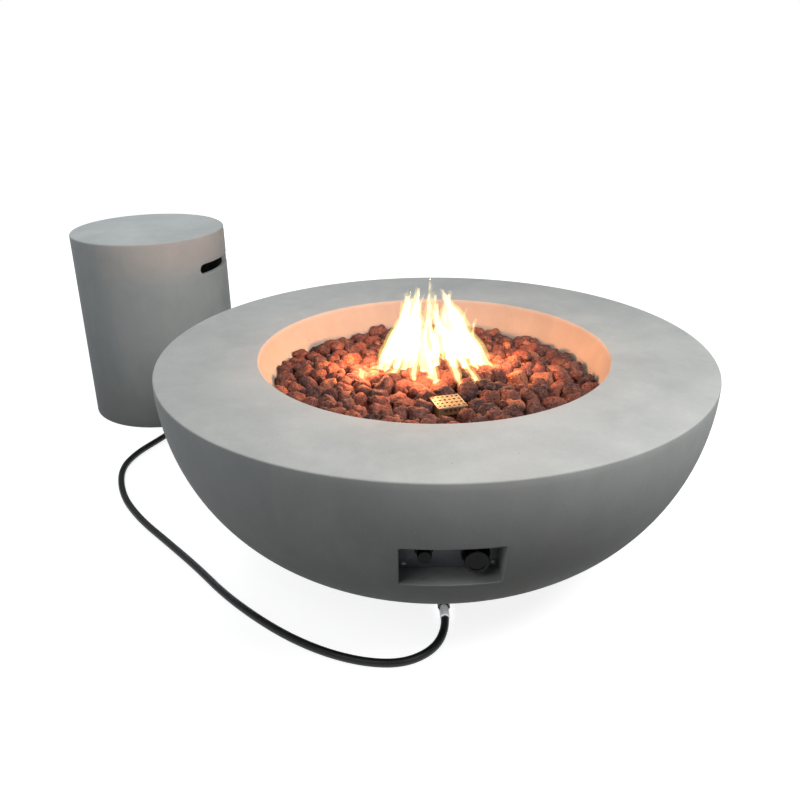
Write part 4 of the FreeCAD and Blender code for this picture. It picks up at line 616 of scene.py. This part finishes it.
barrel = turned_piece("igniter_barrel", rounded([
    (BARREL_BORE_R, -BARREL_L, 0.0), (BARREL_R, -BARREL_L, 0.0005), (BARREL_R, 0.0, 0.0),
    (BEZEL_R, 0.0, 0.0002), (BEZEL_R, BEZEL_H, 0.0010), (BEZEL_DISH_R, BEZEL_H, 0.0005),
    (BEZEL_DISH_R - BEZEL_DISH, BEZEL_H - BEZEL_DISH, 0.0),
    (BARREL_BORE_R, BEZEL_H - BEZEL_DISH, 0.0)], 3), 96)
laid(barrel, (IGNITER_X, panel_front_y, CONTROLS_Z), (0, -1, 0))
finished(barrel, "bowl", phenolic, "black_plastic", "igniter_body")

# -------------------------------------------------------------------------------------------------
# Igniter guard
# A small box folded from perforated stainless sheet, tinted by the heat. It stands on the burner pan with
# its mouth to the front, and keeps the rocks off the spark electrode and the flame sensor.
# -------------------------------------------------------------------------------------------------
GUARD_PLACE = (0.0195, -0.1424, 0.0)
GUARD_TURN = math.radians(14.7)
GUARD_SIDE, GUARD_SHEET = 0.057, 0.0012
GUARD_LOW_Z, GUARD_TOP_Z = 0.3265, 0.371
GUARD_CORNER, GUARD_TOP_FOLD, GUARD_CORNER_INSIDE = 0.0024, 0.0014, 0.0014
GUARD_COLUMNS, GUARD_ROWS, GUARD_HOLE_R = 6, 4, 0.0026
GUARD_FRONT_ROW_DROP = 2.5 * GUARD_HOLE_R
GUARD_MOUTH_W, GUARD_MOUTH_H, GUARD_MOUTH_CORNER = 0.042, 0.030, 0.002
GUARD_PUNCH = 0.010
BRONZE_BAND = (0.352, 0.370)


def heat_tinted_sheet():
    """Stainless sheet, heated in the fire: straw tints in soft bands, turning to bronze down the walls."""
    material = clouded_skin("heat_tinted_stainless", [(0.30, "#665a4d"), (0.5, "#807565"), (0.72, "#70604f")],
                            cloud=(0.022, 3.0), dullness=(0.42, 0.66), grain=(0.0012, 3.0),
                            relief=(0.0001, 0.3), dulled_by_grain=True, Metallic=0.8)
    tree = material.node_tree
    base = tree.nodes["Principled BSDF"].inputs["Base Color"]
    place = add_node(tree, "ShaderNodeTexCoord").outputs["Object"]
    height = add_node(tree, "ShaderNodeSeparateXYZ", {"Vector": place})
    below = add_node(tree, "ShaderNodeMapRange", {
        "Value": height.outputs["Z"], "From Min": BRONZE_BAND[0], "From Max": BRONZE_BAND[1],
        "To Min": 0.85, "To Max": 0.0})
    bronzed = add_node(tree, "ShaderNodeMix", {
        0: below.outputs["Result"], 6: base.links[0].from_socket, 7: linear("#c58a58")}, data_type="RGBA")
    tree.links.new(bronzed.outputs[2], base)
    return material


guard_height = GUARD_TOP_Z - GUARD_LOW_Z
guard_middle = GUARD_LOW_Z + guard_height / 2
inside_side = GUARD_SIDE - 2 * GUARD_SHEET
guard = block_tool((GUARD_SIDE, GUARD_SIDE, guard_height), (0, 0, guard_middle), 2, GUARD_CORNER)
with_round_edges(guard, lambda a, b: min(a.z, b.z) > GUARD_TOP_Z - TOUCH, GUARD_TOP_FOLD)
hollow = block_tool((inside_side, inside_side, guard_height), (0, 0, guard_middle - GUARD_SHEET), 2,
                    GUARD_CORNER_INSIDE)
combined(guard, hollow)
punches = []
for column in range(GUARD_COLUMNS):
    x = (column - (GUARD_COLUMNS - 1) / 2) * inside_side / GUARD_COLUMNS
    for row in range(GUARD_ROWS):
        top = (x, (row - (GUARD_ROWS - 1) / 2) * inside_side / GUARD_ROWS, GUARD_TOP_Z - GUARD_PUNCH / 2)
        punches.append(rod_tool(GUARD_HOLE_R, GUARD_PUNCH, top, (0, 0, 1), 20))
    front = (x, (GUARD_PUNCH - GUARD_SIDE) / 2, GUARD_TOP_Z - GUARD_FRONT_ROW_DROP)
    punches.append(rod_tool(GUARD_HOLE_R, GUARD_PUNCH, front, (0, -1, 0), 20))
combined(guard, merged("punches", punches))
mouth = block_tool(
    (GUARD_MOUTH_W, GUARD_PUNCH, GUARD_MOUTH_H + GUARD_PUNCH),
    (0, -GUARD_SIDE / 2, GUARD_LOW_Z + (GUARD_MOUTH_H - GUARD_PUNCH) / 2), 1, GUARD_MOUTH_CORNER)
combined(guard, mouth)
guard.name = "perforated_guard"
laid(guard, GUARD_PLACE, turn=GUARD_TURN)
finished(guard, "bowl", heat_tinted_sheet(), "heat_tinted_steel", "igniter_guard")

# -------------------------------------------------------------------------------------------------
# Lava rocks
# Broken scoria, 25 to 45 mm, dark red-brown and purple-grey, full of gas bubbles. It is loose, tipped on
# the burner pan and heaped a little over the ring.
# -------------------------------------------------------------------------------------------------
ROCK_RELIEF, ROCK_RELIEF_SIZE = 0.013, 0.017
ROCK_PITTING, ROCK_PITTING_SIZE = 0.006, 0.008
BED_REACH, BED_LOW_Z = 0.305, GUARD_LOW_Z
ABOVE_BED = 0.6
CHIP_TRIES = 2600
CHIP_SIZE, CHIP_STRETCH = (0.012, 0.022), (0.75, 1.35)
CHIP_HOLLOW, CHIP_LOOK, CHIP_LIFT, CHIP_RISE = 0.006, 0.016, 0.003, 0.35
rock_draws = random.Random(3)


def scoria():
    """Vesicular basalt: iron-red and purple-brown from rock to rock, chalky high spots, and bubble pits
    darkened with painted shade.
    """
    material, tree, shader, place = started_material("broken_scoria", Specular_IOR_Level=0.25, Roughness=0.92)
    lot = add_node(tree, "ShaderNodeAttribute", attribute_name="lot")
    hue = add_node(tree, "ShaderNodeValToRGB", {"Fac": lot.outputs["Fac"]}, stops=[
        (0.0, linear("#33262a")), (0.28, linear("#63392f")), (0.5, linear("#423033")),
        (0.74, linear("#82483a")), (0.9, linear("#5f3d38")), (1.0, linear("#a0644b"))])
    crust = add_node(tree, "ShaderNodeTexNoise", {
        "Vector": place, "Scale": 1 / 0.009, "Detail": 6.0, "Roughness": 0.7})
    crust_share = add_node(tree, "ShaderNodeMapRange", {
        "Value": crust.outputs["Fac"], "From Min": 0.45, "From Max": 0.75, "To Min": 0.0, "To Max": 0.42})
    chalky = add_node(tree, "ShaderNodeMix", {
        0: crust_share.outputs["Result"], 6: hue.outputs["Color"], 7: linear("#a67d68")}, data_type="RGBA")
    bubbles = add_node(tree, "ShaderNodeTexVoronoi", {
        "Vector": place, "Scale": 1 / 0.0042}, feature="SMOOTH_F1")
    # Painted shade: the middle of each bubble is darkened, as shade falls in the hollow.
    pit_shade = add_node(tree, "ShaderNodeMapRange", {
        "Value": bubbles.outputs["Distance"], "From Min": 0.10, "From Max": 0.42,
        "To Min": 0.85, "To Max": 0.0})
    dark = add_node(tree, "ShaderNodeMix", {
        0: pit_shade.outputs["Result"], 6: chalky.outputs[2], 7: linear("#221a1a")}, data_type="RGBA")
    tree.links.new(dark.outputs[2], shader.inputs["Base Color"])
    hollow = add_node(tree, "ShaderNodeBump", {
        "Height": bubbles.outputs["Distance"], "Distance": 0.0018, "Strength": 0.7})
    rough = add_node(tree, "ShaderNodeBump", {
        "Height": crust.outputs["Fac"], "Normal": hollow.outputs["Normal"], "Distance": 0.0015,
        "Strength": 0.6})
    tree.links.new(rough.outputs["Normal"], shader.inputs["Normal"])
    return material


def with_modifier(piece, kind, **settings):
    """Adds a modifier to the piece and applies it."""
    only(piece)
    modifier = piece.modifiers.new(kind.lower(), kind)
    for name, value in settings.items():
        setattr(modifier, name, value)
    bpy.ops.object.modifier_apply(modifier=modifier.name)
    return piece


def cloud_texture(name, size, detail):
    """A cloud texture of a real size, by which a surface is pushed in and out."""
    texture = bpy.data.textures.new(name, "CLOUDS")
    texture.noise_scale = size
    texture.noise_depth = detail
    return texture


def roughened(piece, texture, depth, level):
    """Pushes the surface in and out by the texture, outwards where that is above the level."""
    return with_modifier(piece, "DISPLACE", texture=texture, texture_coords="LOCAL", strength=depth,
                         mid_level=level)


def copied_node(node, name):
    """A copy of a node's mesh as an object of its own, its doubles merged and its flat faces made whole."""
    piece = bpy.data.objects.new(name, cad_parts[node].data.copy())
    bpy.context.scene.collection.objects.link(piece)
    only(piece)
    bpy.ops.mesh.customdata_custom_splitnormals_clear()
    bpy.ops.object.mode_set(mode="EDIT")
    bpy.ops.mesh.select_all(action="SELECT")
    bpy.ops.mesh.remove_doubles(threshold=1e-5)
    bpy.ops.mesh.dissolve_limited(angle_limit=math.radians(1.0))
    bpy.ops.object.mode_set(mode="OBJECT")
    return piece


def with_lots(piece):
    """Gives each loose rock of the bed a number of its own between 0 and 1, for its colour."""
    only(piece)
    bpy.ops.object.mode_set(mode="EDIT")
    mesh = bmesh.from_edit_mesh(piece.data)
    lot = mesh.verts.layers.float.new("lot")
    left = set(mesh.verts)
    for first in mesh.verts:
        if first in left:
            share = rock_draws.random()
            front = [first]
            left.discard(first)
            while front:
                vert = front.pop()
                vert[lot] = share
                beside = {edge.other_vert(vert) for edge in vert.link_edges} & left
                left -= beside
                front += beside
    bmesh.update_edit_mesh(piece.data)
    bpy.ops.object.mode_set(mode="OBJECT")


def bed_height(x, y):
    """The height of the rocks at a place, or the pan's where none lies there."""
    hit, place, _, _ = rocks.ray_cast((x, y, ABOVE_BED), (0, 0, -1))
    return place.z if hit else BED_LOW_Z


def chip_fits(x, y, chips):
    """Whether a place on the bed is a hollow with no other chip near it."""
    low = bed_height(x, y)
    around = [bed_height(x + a * CHIP_LOOK, y + b * CHIP_LOOK) for a, b in ((1, 0), (0, 1), (-1, 0), (0, -1))]
    hollow = sum(around) / len(around) - low > CHIP_HOLLOW and low > BED_LOW_Z + CHIP_LIFT
    return hollow and not any(math.dist((x, y), chip[:2]) < CHIP_LOOK for chip in chips)


def chips_between():
    """Small broken pieces that came out of the bag with the rocks and lie in the hollows between them."""
    chips = []
    for _ in range(CHIP_TRIES):
        heading = rock_draws.uniform(0, math.tau)
        reach = BED_REACH * math.sqrt(rock_draws.random())
        x, y = reach * math.cos(heading), reach * math.sin(heading)
        size = rock_draws.uniform(*CHIP_SIZE)
        if math.dist((x, y), GUARD_PLACE[:2]) >= GUARD_SIDE and chip_fits(x, y, chips):
            chips.append((x, y, bed_height(x, y) + size * CHIP_RISE, size))
    pieces = []
    for x, y, z, size in chips:
        bpy.ops.object.select_all(action="DESELECT")
        turn = [rock_draws.uniform(0, math.tau) for _ in range(3)]
        bpy.ops.mesh.primitive_cube_add(size=size, location=(x, y, z), rotation=turn)
        bpy.context.object.scale = [rock_draws.uniform(*CHIP_STRETCH) for _ in range(3)]
        bpy.ops.object.transform_apply(location=True, rotation=True, scale=True)
        pieces.append(bpy.context.object)
    lot_of_chips = merged("rock_chips", pieces)
    with_lots(lot_of_chips)
    with_modifier(lot_of_chips, "SUBSURF", levels=1, render_levels=1)
    roughened(lot_of_chips, pitting, ROCK_PITTING, 0.5)
    return lot_of_chips


rocks = copied_node("lava_rocks", "lava_rock_bed")
with_lots(rocks)
with_modifier(rocks, "SUBSURF", levels=2, render_levels=2)
roughened(rocks, cloud_texture("weathering", ROCK_RELIEF_SIZE, 2), ROCK_RELIEF, 0.30)
pitting = cloud_texture("pitting", ROCK_PITTING_SIZE, 1)
roughened(rocks, pitting, ROCK_PITTING, 0.5)
rocks = merged("lava_rock_bed", [rocks, chips_between()])
finished(rocks, "bowl", scoria(), "lava_rock", "lava_rocks", smooth=60.0)

# -------------------------------------------------------------------------------------------------
# Cylinder cover
# A concrete cylinder cast like the bowl, closed on top and open below, 406 mm across and 508 mm high,
# with a hand slot on two sides and a notch at the ground for the hose. It stands loose over the cylinder.
# -------------------------------------------------------------------------------------------------
COVER_PLACE = Vector((-0.737, 0.758, 0.0))
COVER_R, COVER_H, COVER_WALL, COVER_TOP = 0.203, 0.508, 0.014, 0.016
COVER_TOP_ROUND, COVER_FOOT_ROUND, COVER_INSIDE_ROUND = 0.004, 0.003, 0.006
GRIP_TURN, GRIP_W, GRIP_H, GRIP_Z, GRIP_ROUND = math.radians(-11), 0.184, 0.027, 0.420, 0.0015
COVER_NOTCH_TURN, COVER_NOTCH_W, COVER_NOTCH_H = math.radians(-62), 0.062, 0.032
GRIP_END_ROUND, COVER_NOTCH_CORNER = 0.49 * GRIP_H, 0.3 * COVER_NOTCH_W
COVER_RINGS, COVER_STEPS = 24, 160
# Painted shade on the cover: the height it reaches up from the ground, and the tone it darkens to.
COVER_PAINTED_SHADE = (0.50, "#c0c3c3")

inside_r = COVER_R - COVER_WALL
side = [(COVER_R, COVER_H * (1 - k / COVER_RINGS), 0.0) for k in range(1, COVER_RINGS)]
inside = [(inside_r, z, 0.0) for _, z, _ in reversed(side[1:])]
cover = turned_piece("concrete_cover", rounded(
    [(0.0, COVER_H, 0.0), (COVER_R, COVER_H, COVER_TOP_ROUND)] + side
    + [(COVER_R, 0.0, COVER_FOOT_ROUND), (inside_r, 0.0, COVER_FOOT_ROUND)] + inside
    + [(inside_r, COVER_H - COVER_TOP, COVER_INSIDE_ROUND), (0.0, COVER_H - COVER_TOP, 0.0)]), COVER_STEPS)
grips = block_tool((2 * (COVER_R + COVER_WALL), GRIP_W, GRIP_H), (0, 0, GRIP_Z), 0, GRIP_END_ROUND, GRIP_TURN)
combined(cover, grips)
wall_middle = (COVER_R - COVER_WALL / 2) * Vector((math.cos(COVER_NOTCH_TURN), math.sin(COVER_NOTCH_TURN), 0))
notch = block_tool((4 * COVER_WALL, COVER_NOTCH_W, 2 * COVER_NOTCH_H), wall_middle, 0,
                   COVER_NOTCH_CORNER, COVER_NOTCH_TURN)
combined(cover, notch)


def on_grip_edge(a, b):
    """Whether both ends of an edge lie at the height of the hand slots."""
    return all(abs(p.z - GRIP_Z) < GRIP_H / 2 + TOUCH for p in (a, b))


with_round_edges(cover, on_grip_edge, GRIP_ROUND, sharper=SHARP)
laid(cover, COVER_PLACE)
cover_concrete = sealed_concrete("cover_concrete_sealed", *COVER_PAINTED_SHADE)
finished(cover, "cover", cover_concrete, "concrete", "tank_cover", smooth=30.0)

# -------------------------------------------------------------------------------------------------
# Gas cylinder
# A welded steel bottle in light grey enamel with a rolled foot ring and collar, its brass valve and
# handwheel, and the regulator with its ribbed coupling nut. The cover hides it until it is lifted off.
# -------------------------------------------------------------------------------------------------
enamel = powder_coat("light_grey_enamel", "#c9cbc9", "#bfc2c1")
brass = plated_steel("machined_brass", "#d8b466", "#b98f48", 0.0006)
aluminium = plated_steel("die_cast_aluminium", "#a9acb0", "#8f9397", 0.0015)
for node, name, body, material, slot, edge in (
        ("cylinder_shell", "steel_bottle", "bowl", enamel, "cylinder_paint", 0.0),
        ("cylinder_foot_ring", "rolled_foot_ring", "bowl", enamel, "cylinder_paint", 0.0004),
        ("cylinder_collar", "rolled_collar", "bowl", enamel, "cylinder_paint", 0.0004),
        ("cylinder_valve", "brass_valve", "bowl", brass, "brass", 0.0004),
        ("valve_handwheel", "lobed_handwheel", "handwheel", phenolic, "black_plastic", 0.0008),
        ("coupling_nut", "ribbed_coupling", "coupling", phenolic, "black_plastic", 0.0004),
        ("regulator_body", "regulator_housing", "bowl", aluminium, "cast_aluminium", 0.0006),
        ("regulator_cap", "regulator_cap_moulded", "bowl", phenolic, "black_plastic", 0.0)):
    piece = copied_node(node, name)
    if edge:
        broken_edges(piece, edge)
    finished(piece, body, material, slot, node)

# -------------------------------------------------------------------------------------------------
# Fire tray, burner and the parts under the rocks and behind the panel
# The pan, ring and bracket are stainless, the mixer, elbow and nuts brass, and the valve body is die cast.
# The leads are sleeved, the swivel nut under the bowl is blackened, and all keep their modelled shapes.
# -------------------------------------------------------------------------------------------------
stainless = plated_steel("brushed_stainless", "#b9bab9", "#8d8d8b", 0.0010)
spring_steel = plated_steel("bright_spring_wire", "#b4b6b8", "#96989b", 0.0005)
blackened = plated_steel("blackened_steel", "#3a3b3d", "#2a2b2c", 0.0010)
copper = plated_steel("drawn_copper", "#c98a62", "#a4694a", 0.0006)
glazed = powder_coat("glazed_ceramic", "#efece4", "#e6e2d8")
silicone = powder_coat("silicone_sleeve", "#c6c2ba", "#b5b1a9")
sleeve = powder_coat("plain_battery_sleeve", "#4a5368", "#3e4659")
for slot, material in (
        ("stainless", stainless), ("brass", brass), ("cast_aluminium", aluminium), ("zinc_steel", zinc),
        ("spring_steel", spring_steel), ("copper_lead", copper), ("ceramic", glazed),
        ("lead_insulation", silicone), ("battery_wrap", sleeve), ("black_plastic", phenolic)):
    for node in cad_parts.values():
        if node.material_slots[0].material and node.material_slots[0].material.name == slot:
            node.material_slots[0].material = material
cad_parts["hose_swivel_nut"].material_slots[0].material = blackened

# -------------------------------------------------------------------------------------------------
# Return springs
# Wound from spring wire. One stands between the gas valve and the washer on the knob's stem, the other
# behind the igniter's cap in its barrel.
# -------------------------------------------------------------------------------------------------
STEM_SPRING_SEAT_Y, STEM_SPRING_TRAVEL = -0.404, 0.005
IGNITER_SPRING_SEAT_Y, IGNITER_SPRING_TRAVEL = -0.399, 0.004

for node, joint, seat_y, travel in (
        ("stem_spring", "knob_push", STEM_SPRING_SEAT_Y, STEM_SPRING_TRAVEL),
        ("igniter_spring", "igniter_press", IGNITER_SPRING_SEAT_Y, IGNITER_SPRING_TRAVEL)):
    spring = copied_node(node, f"wound_{node}")
    finished(spring, "bowl", spring_steel, "spring_steel", node, smooth=60.0)
    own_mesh(spring)

# -------------------------------------------------------------------------------------------------
# Flames
# Burning gas over the ring: tongues that start at the ports between the rocks, lean together and tear
# off at the tips. They glow where they are thick and fade at their edges. They are gas and no piece.
# -------------------------------------------------------------------------------------------------
FLAME_LOW_Z = 0.362
FLAME_STATIONS = 14
FLAME_VOXEL = 0.0018
FLAME_MANTLE = 0.0060
FLAME_PORT_SHARE, FLAME_SWELL, FLAME_TAPER = 0.35, 2.2, 0.50
FLAME_SWAY, FLAME_SWAY_TURNS = 0.9, (6, 5)
FLAME_SHIVER, FLAME_SHIVER_SIZE = 0.006, 0.022
FLAME_LEAST = 1.5 * FLAME_VOXEL
TWIN_GIRTH, TWIN_ROW_Y, TWIN_TIP_Y, TWIN_TIP_DROP = 0.0095, 0.075, 0.015, 0.020
# Shares of a foot's x and y that its twin's foot takes.
TWIN_X_SHARE, TWIN_Y_SHARE = 0.9, 0.3
CORE_COLOUR, CORE_GLOW = (1.0, 0.80, 0.42), 100.0
MANTLE_COLOUR, MANTLE_GLOW = (1.0, 0.78, 0.24), 26.0
FIRE_COLOUR, FIRE_LIGHT_SIZE = (1.0, 0.41, 0.18), 0.03
# Where a light hangs in the fire, and its power.
FIRE_LIGHTS = [((-0.122, 0.020, 0.412), 2.8), ((0.124, 0.030, 0.412), 2.1), ((-0.020, -0.078, 0.412), 1.2),
               ((0.000, 0.095, 0.415), 0.5), ((0.000, 0.000, 0.480), 0.5)]
# The x and y of a tongue's foot, the x, y and z of its tip, and its girth.
TONGUES = [
    (-0.108, 0.026, -0.048, -0.004, 0.532, 0.0096), (-0.095, 0.021, -0.034, 0.000, 0.540, 0.0104),
    (-0.076, 0.030, -0.019, 0.000, 0.547, 0.0112), (-0.060, 0.020, -0.030, 0.005, 0.500, 0.0104),
    (-0.090, -0.014, -0.050, -0.030, 0.427, 0.0045), (-0.039, -0.038, -0.036, -0.030, 0.450, 0.0065),
    (-0.045, 0.018, -0.021, -0.010, 0.540, 0.0100), (-0.022, -0.004, -0.013, -0.010, 0.530, 0.0088),
    (0.005, -0.067, -0.022, -0.020, 0.480, 0.0080), (-0.006, -0.040, -0.014, -0.030, 0.500, 0.0072),
    (0.010, 0.030, 0.000, 0.000, 0.500, 0.0104), (0.050, -0.059, 0.010, -0.020, 0.480, 0.0072),
    (0.091, -0.063, 0.044, -0.020, 0.428, 0.0050), (0.122, 0.025, 0.032, 0.000, 0.505, 0.0084),
    (0.108, 0.025, 0.045, 0.000, 0.472, 0.0096), (0.090, 0.017, 0.026, 0.000, 0.543, 0.0112),
    (0.070, 0.009, 0.020, -0.008, 0.530, 0.0112), (0.045, 0.020, 0.010, -0.010, 0.515, 0.0108),
    (0.073, 0.070, 0.056, 0.010, 0.490, 0.0070), (0.098, 0.050, 0.074, 0.000, 0.472, 0.0060),
    (0.025, 0.055, 0.005, 0.000, 0.530, 0.0050), (-0.142, -0.022, -0.139, -0.022, 0.392, 0.0050),
    (-0.014, 0.000, -0.009, 0.000, 0.563, 0.0034),
]


def burning_gas(name, colour, strength):
    """Burning gas, which only gives light: dim where the ray through it is short, white where it is long."""
    material = bpy.data.materials.new(name)
    material.use_nodes = True
    tree = material.node_tree
    tree.nodes.clear()
    glow = add_node(tree, "ShaderNodeEmission", {"Color": (*colour, 1.0), "Strength": strength})
    add_node(tree, "ShaderNodeOutputMaterial", {"Volume": glow.outputs["Emission"]})
    return material


def tongue_of_fire(foot, tip, girth, sway):
    """One tongue, thin at its port, thickest a third of the way up and drawn out to its tip."""
    curve = bpy.data.curves.new("tongue", "CURVE")
    curve.dimensions = "3D"
    curve.bevel_depth = 1.0
    curve.bevel_resolution = 3
    curve.use_fill_caps = True
    thread = curve.splines.new("POLY")
    thread.points.add(FLAME_STATIONS)
    for station, point in enumerate(thread.points):
        t = station / FLAME_STATIONS
        middle = foot.lerp(tip, t)
        middle.x += FLAME_SWAY * girth * math.sin(sway + FLAME_SWAY_TURNS[0] * t) * t
        middle.y += FLAME_SWAY * girth * math.cos(sway + FLAME_SWAY_TURNS[1] * t) * t
        point.co = (*middle, 1.0)
        share = min(1.0, FLAME_PORT_SHARE + FLAME_SWELL * t) * (1 - t) ** FLAME_TAPER
        point.radius = max(FLAME_LEAST, girth * share)
    tongue = bpy.data.objects.new("tongue", curve)
    bpy.context.scene.collection.objects.link(tongue)
    only(tongue)
    bpy.ops.object.convert(target="MESH")
    return bpy.context.object


def body_of_fire(name, mantle, gas):
    """All tongues as one closed mesh, each thicker than its core by the mantle. A thick tongue has a twin
    behind it."""
    sways = random.Random(5)
    tongues = []
    for foot_x, foot_y, tip_x, tip_y, tip_z, girth in TONGUES:
        foot = Vector((foot_x, foot_y, FLAME_LOW_Z))
        tip = Vector((tip_x, tip_y, tip_z + mantle))
        tongues.append(tongue_of_fire(foot, tip, girth + mantle, sways.uniform(0, math.tau)))
        if girth >= TWIN_GIRTH:
            foot = Vector((TWIN_X_SHARE * foot_x, TWIN_ROW_Y - TWIN_Y_SHARE * foot_y, FLAME_LOW_Z))
            tip = Vector((tip_x, TWIN_TIP_Y, tip_z + mantle - TWIN_TIP_DROP))
            tongues.append(tongue_of_fire(foot, tip, girth + mantle, sways.uniform(0, math.tau)))
    fire = merged(name, tongues)
    with_modifier(fire, "REMESH", mode="VOXEL", voxel_size=FLAME_VOXEL)
    with_modifier(fire, "SMOOTH", factor=0.5, iterations=4)
    roughened(fire, shivers, FLAME_SHIVER, 0.5)
    fire.data.materials.clear()
    fire.data.materials.append(gas)
    fire.visible_diffuse = False
    fire.visible_shadow = False


shivers = cloud_texture("shivers", FLAME_SHIVER_SIZE, 2)
body_of_fire("flame_core", 0.0, burning_gas("burning_gas_core", CORE_COLOUR, CORE_GLOW))
body_of_fire("flame_mantle", FLAME_MANTLE, burning_gas("burning_gas_mantle", MANTLE_COLOUR, MANTLE_GLOW))

for k, (place, power) in enumerate(FIRE_LIGHTS):
    light = bpy.data.lights.new(f"fire_light_{k + 1}", "POINT")
    light.energy = power
    light.color = FIRE_COLOUR
    light.shadow_soft_size = FIRE_LIGHT_SIZE
    lamp = bpy.data.objects.new(light.name, light)
    lamp.location = place
    bpy.context.scene.collection.objects.link(lamp)

# -------------------------------------------------------------------------------------------------
# Studio
# A pale floor and a white surround, with a broad soft light high at the right, weak ones at the left and low
# behind, small ones over the front of the rim and at the cover, and a narrow one on the hose's ferrule.
# -------------------------------------------------------------------------------------------------
FLOOR_SIZE, FLOOR_Z = 40.0, -0.0005
FLOOR_WHITE, FLOOR_FADE = 0.86, (0.9, 2.6)
AMBIENT = 0.08
# A lamp's name, its place, what it points at, its width, power and colour.
LAMPS = [
    ("high_right", (1.26, -0.88, 2.19), (0.0, 0.0, 0.40), 1.1, 54.0, (1.0, 1.0, 1.0)),
    ("over_left", (-0.77, -1.33, 1.54), (0.0, 0.0, 0.30), 0.9, 7.0, (0.98, 0.99, 1.0)),
    ("low_left", (-1.80, -0.60, 0.50), (-0.40, 0.0, 0.30), 0.9, 1.5, (0.88, 0.94, 1.0)),
    ("beside_the_cover", (-1.75, 0.35, 0.55), (-0.80, 0.76, 0.30), 0.6, 1.8, (0.88, 0.94, 1.0)),
    ("over_front", (0.08, -0.50, 1.25), (0.05, -0.45, 0.42), 0.5, 1.5, (1.0, 0.80, 0.66)),
    ("over_the_cover", (-1.00, 0.90, 1.40), (-0.74, 0.76, 0.50), 0.5, 6.0, (0.90, 0.97, 1.0)),
    ("low_behind", (-0.60, 3.40, 0.70), (-0.30, 0.40, 0.20), 1.4, 20.0, (0.98, 0.99, 1.0)),
]
SPOT_PLACE, SPOT_WIDTH, SPOT_POWER, SPOT_SIZE = Vector((0.006, -0.88, 0.217)), math.radians(3.4), 20.0, 0.01

bpy.ops.object.select_all(action="DESELECT")
bpy.ops.mesh.primitive_plane_add(size=FLOOR_SIZE, location=(0, 0, FLOOR_Z))
floor = bpy.context.object
floor.name = "studio_floor"
pale = bpy.data.materials.new("pale_floor")
pale.use_nodes = True
pale_tree = pale.node_tree
pale_tree.nodes.clear()
ray = add_node(pale_tree, "ShaderNodeLightPath")
seen = add_node(pale_tree, "ShaderNodeMath", {
    0: ray.outputs["Is Camera Ray"], 1: ray.outputs["Is Glossy Ray"]}, operation="ADD")
seen_all = add_node(pale_tree, "ShaderNodeMath", {
    0: seen.outputs["Value"], 1: ray.outputs["Is Transmission Ray"]}, operation="ADD", use_clamp=True)
lit = add_node(pale_tree, "ShaderNodeBsdfDiffuse", {"Color": (0.45, 0.45, 0.45, 1.0)})
floor_place = add_node(pale_tree, "ShaderNodeTexCoord")
from_middle = add_node(pale_tree, "ShaderNodeVectorMath", {
    0: floor_place.outputs["Object"]}, operation="LENGTH")
fade = add_node(pale_tree, "ShaderNodeMapRange", {
    "Value": from_middle.outputs["Value"], "From Min": FLOOR_FADE[0], "From Max": FLOOR_FADE[1],
    "To Min": FLOOR_WHITE, "To Max": 1.0})
white = add_node(pale_tree, "ShaderNodeEmission", {
    "Color": (1.0, 1.0, 1.0, 1.0), "Strength": fade.outputs["Result"]})
bright = add_node(pale_tree, "ShaderNodeAddShader", {0: lit.outputs["BSDF"], 1: white.outputs["Emission"]})
plain = add_node(pale_tree, "ShaderNodeBsdfDiffuse", {"Color": (0.08, 0.08, 0.08, 1.0)})
either = add_node(pale_tree, "ShaderNodeMixShader", {
    0: seen_all.outputs["Value"], 1: plain.outputs["BSDF"], 2: bright.outputs["Shader"]})
add_node(pale_tree, "ShaderNodeOutputMaterial", {"Surface": either.outputs["Shader"]})
floor.data.materials.append(pale)

world = bpy.data.worlds.new("surround")
bpy.context.scene.world = world
world.use_nodes = True
sky = world.node_tree
sky.nodes.clear()
sky_ray = add_node(sky, "ShaderNodeLightPath")
sky_seen = add_node(sky, "ShaderNodeMath", {
    0: sky_ray.outputs["Is Camera Ray"], 1: sky_ray.outputs["Is Transmission Ray"]},
    operation="ADD", use_clamp=True)
ambient = add_node(sky, "ShaderNodeBackground", {"Color": (0.94, 0.97, 1.0, 1.0), "Strength": AMBIENT})
backdrop = add_node(sky, "ShaderNodeBackground", {"Color": (1.0, 1.0, 1.0, 1.0), "Strength": 1.0})
sky_mix = add_node(sky, "ShaderNodeMixShader", {
    0: sky_seen.outputs["Value"], 1: ambient.outputs["Background"], 2: backdrop.outputs["Background"]})
add_node(sky, "ShaderNodeOutputWorld", {"Surface": sky_mix.outputs["Shader"]})

for name, place, aim_at, size, power, colour in LAMPS:
    light = bpy.data.lights.new(name, "AREA")
    light.size = size
    light.energy = power
    light.color = colour
    lamp = bpy.data.objects.new(name, light)
    lamp.location = place
    lamp.rotation_euler = (Vector(aim_at) - Vector(place)).to_track_quat("-Z", "Y").to_euler()
    bpy.context.scene.collection.objects.link(lamp)

spot = bpy.data.lights.new("at_the_ferrule", "SPOT")
spot.energy = SPOT_POWER
spot.spot_size = SPOT_WIDTH
spot.spot_blend = 0.5
spot.shadow_soft_size = SPOT_SIZE
spot_lamp = bpy.data.objects.new("at_the_ferrule", spot)
spot_lamp.location = SPOT_PLACE
spot_lamp.rotation_euler = (HOSE_START - SPOT_PLACE).to_track_quat("-Z", "Y").to_euler()
bpy.context.scene.collection.objects.link(spot_lamp)
bpy.context.scene.view_settings.view_transform = "Standard"
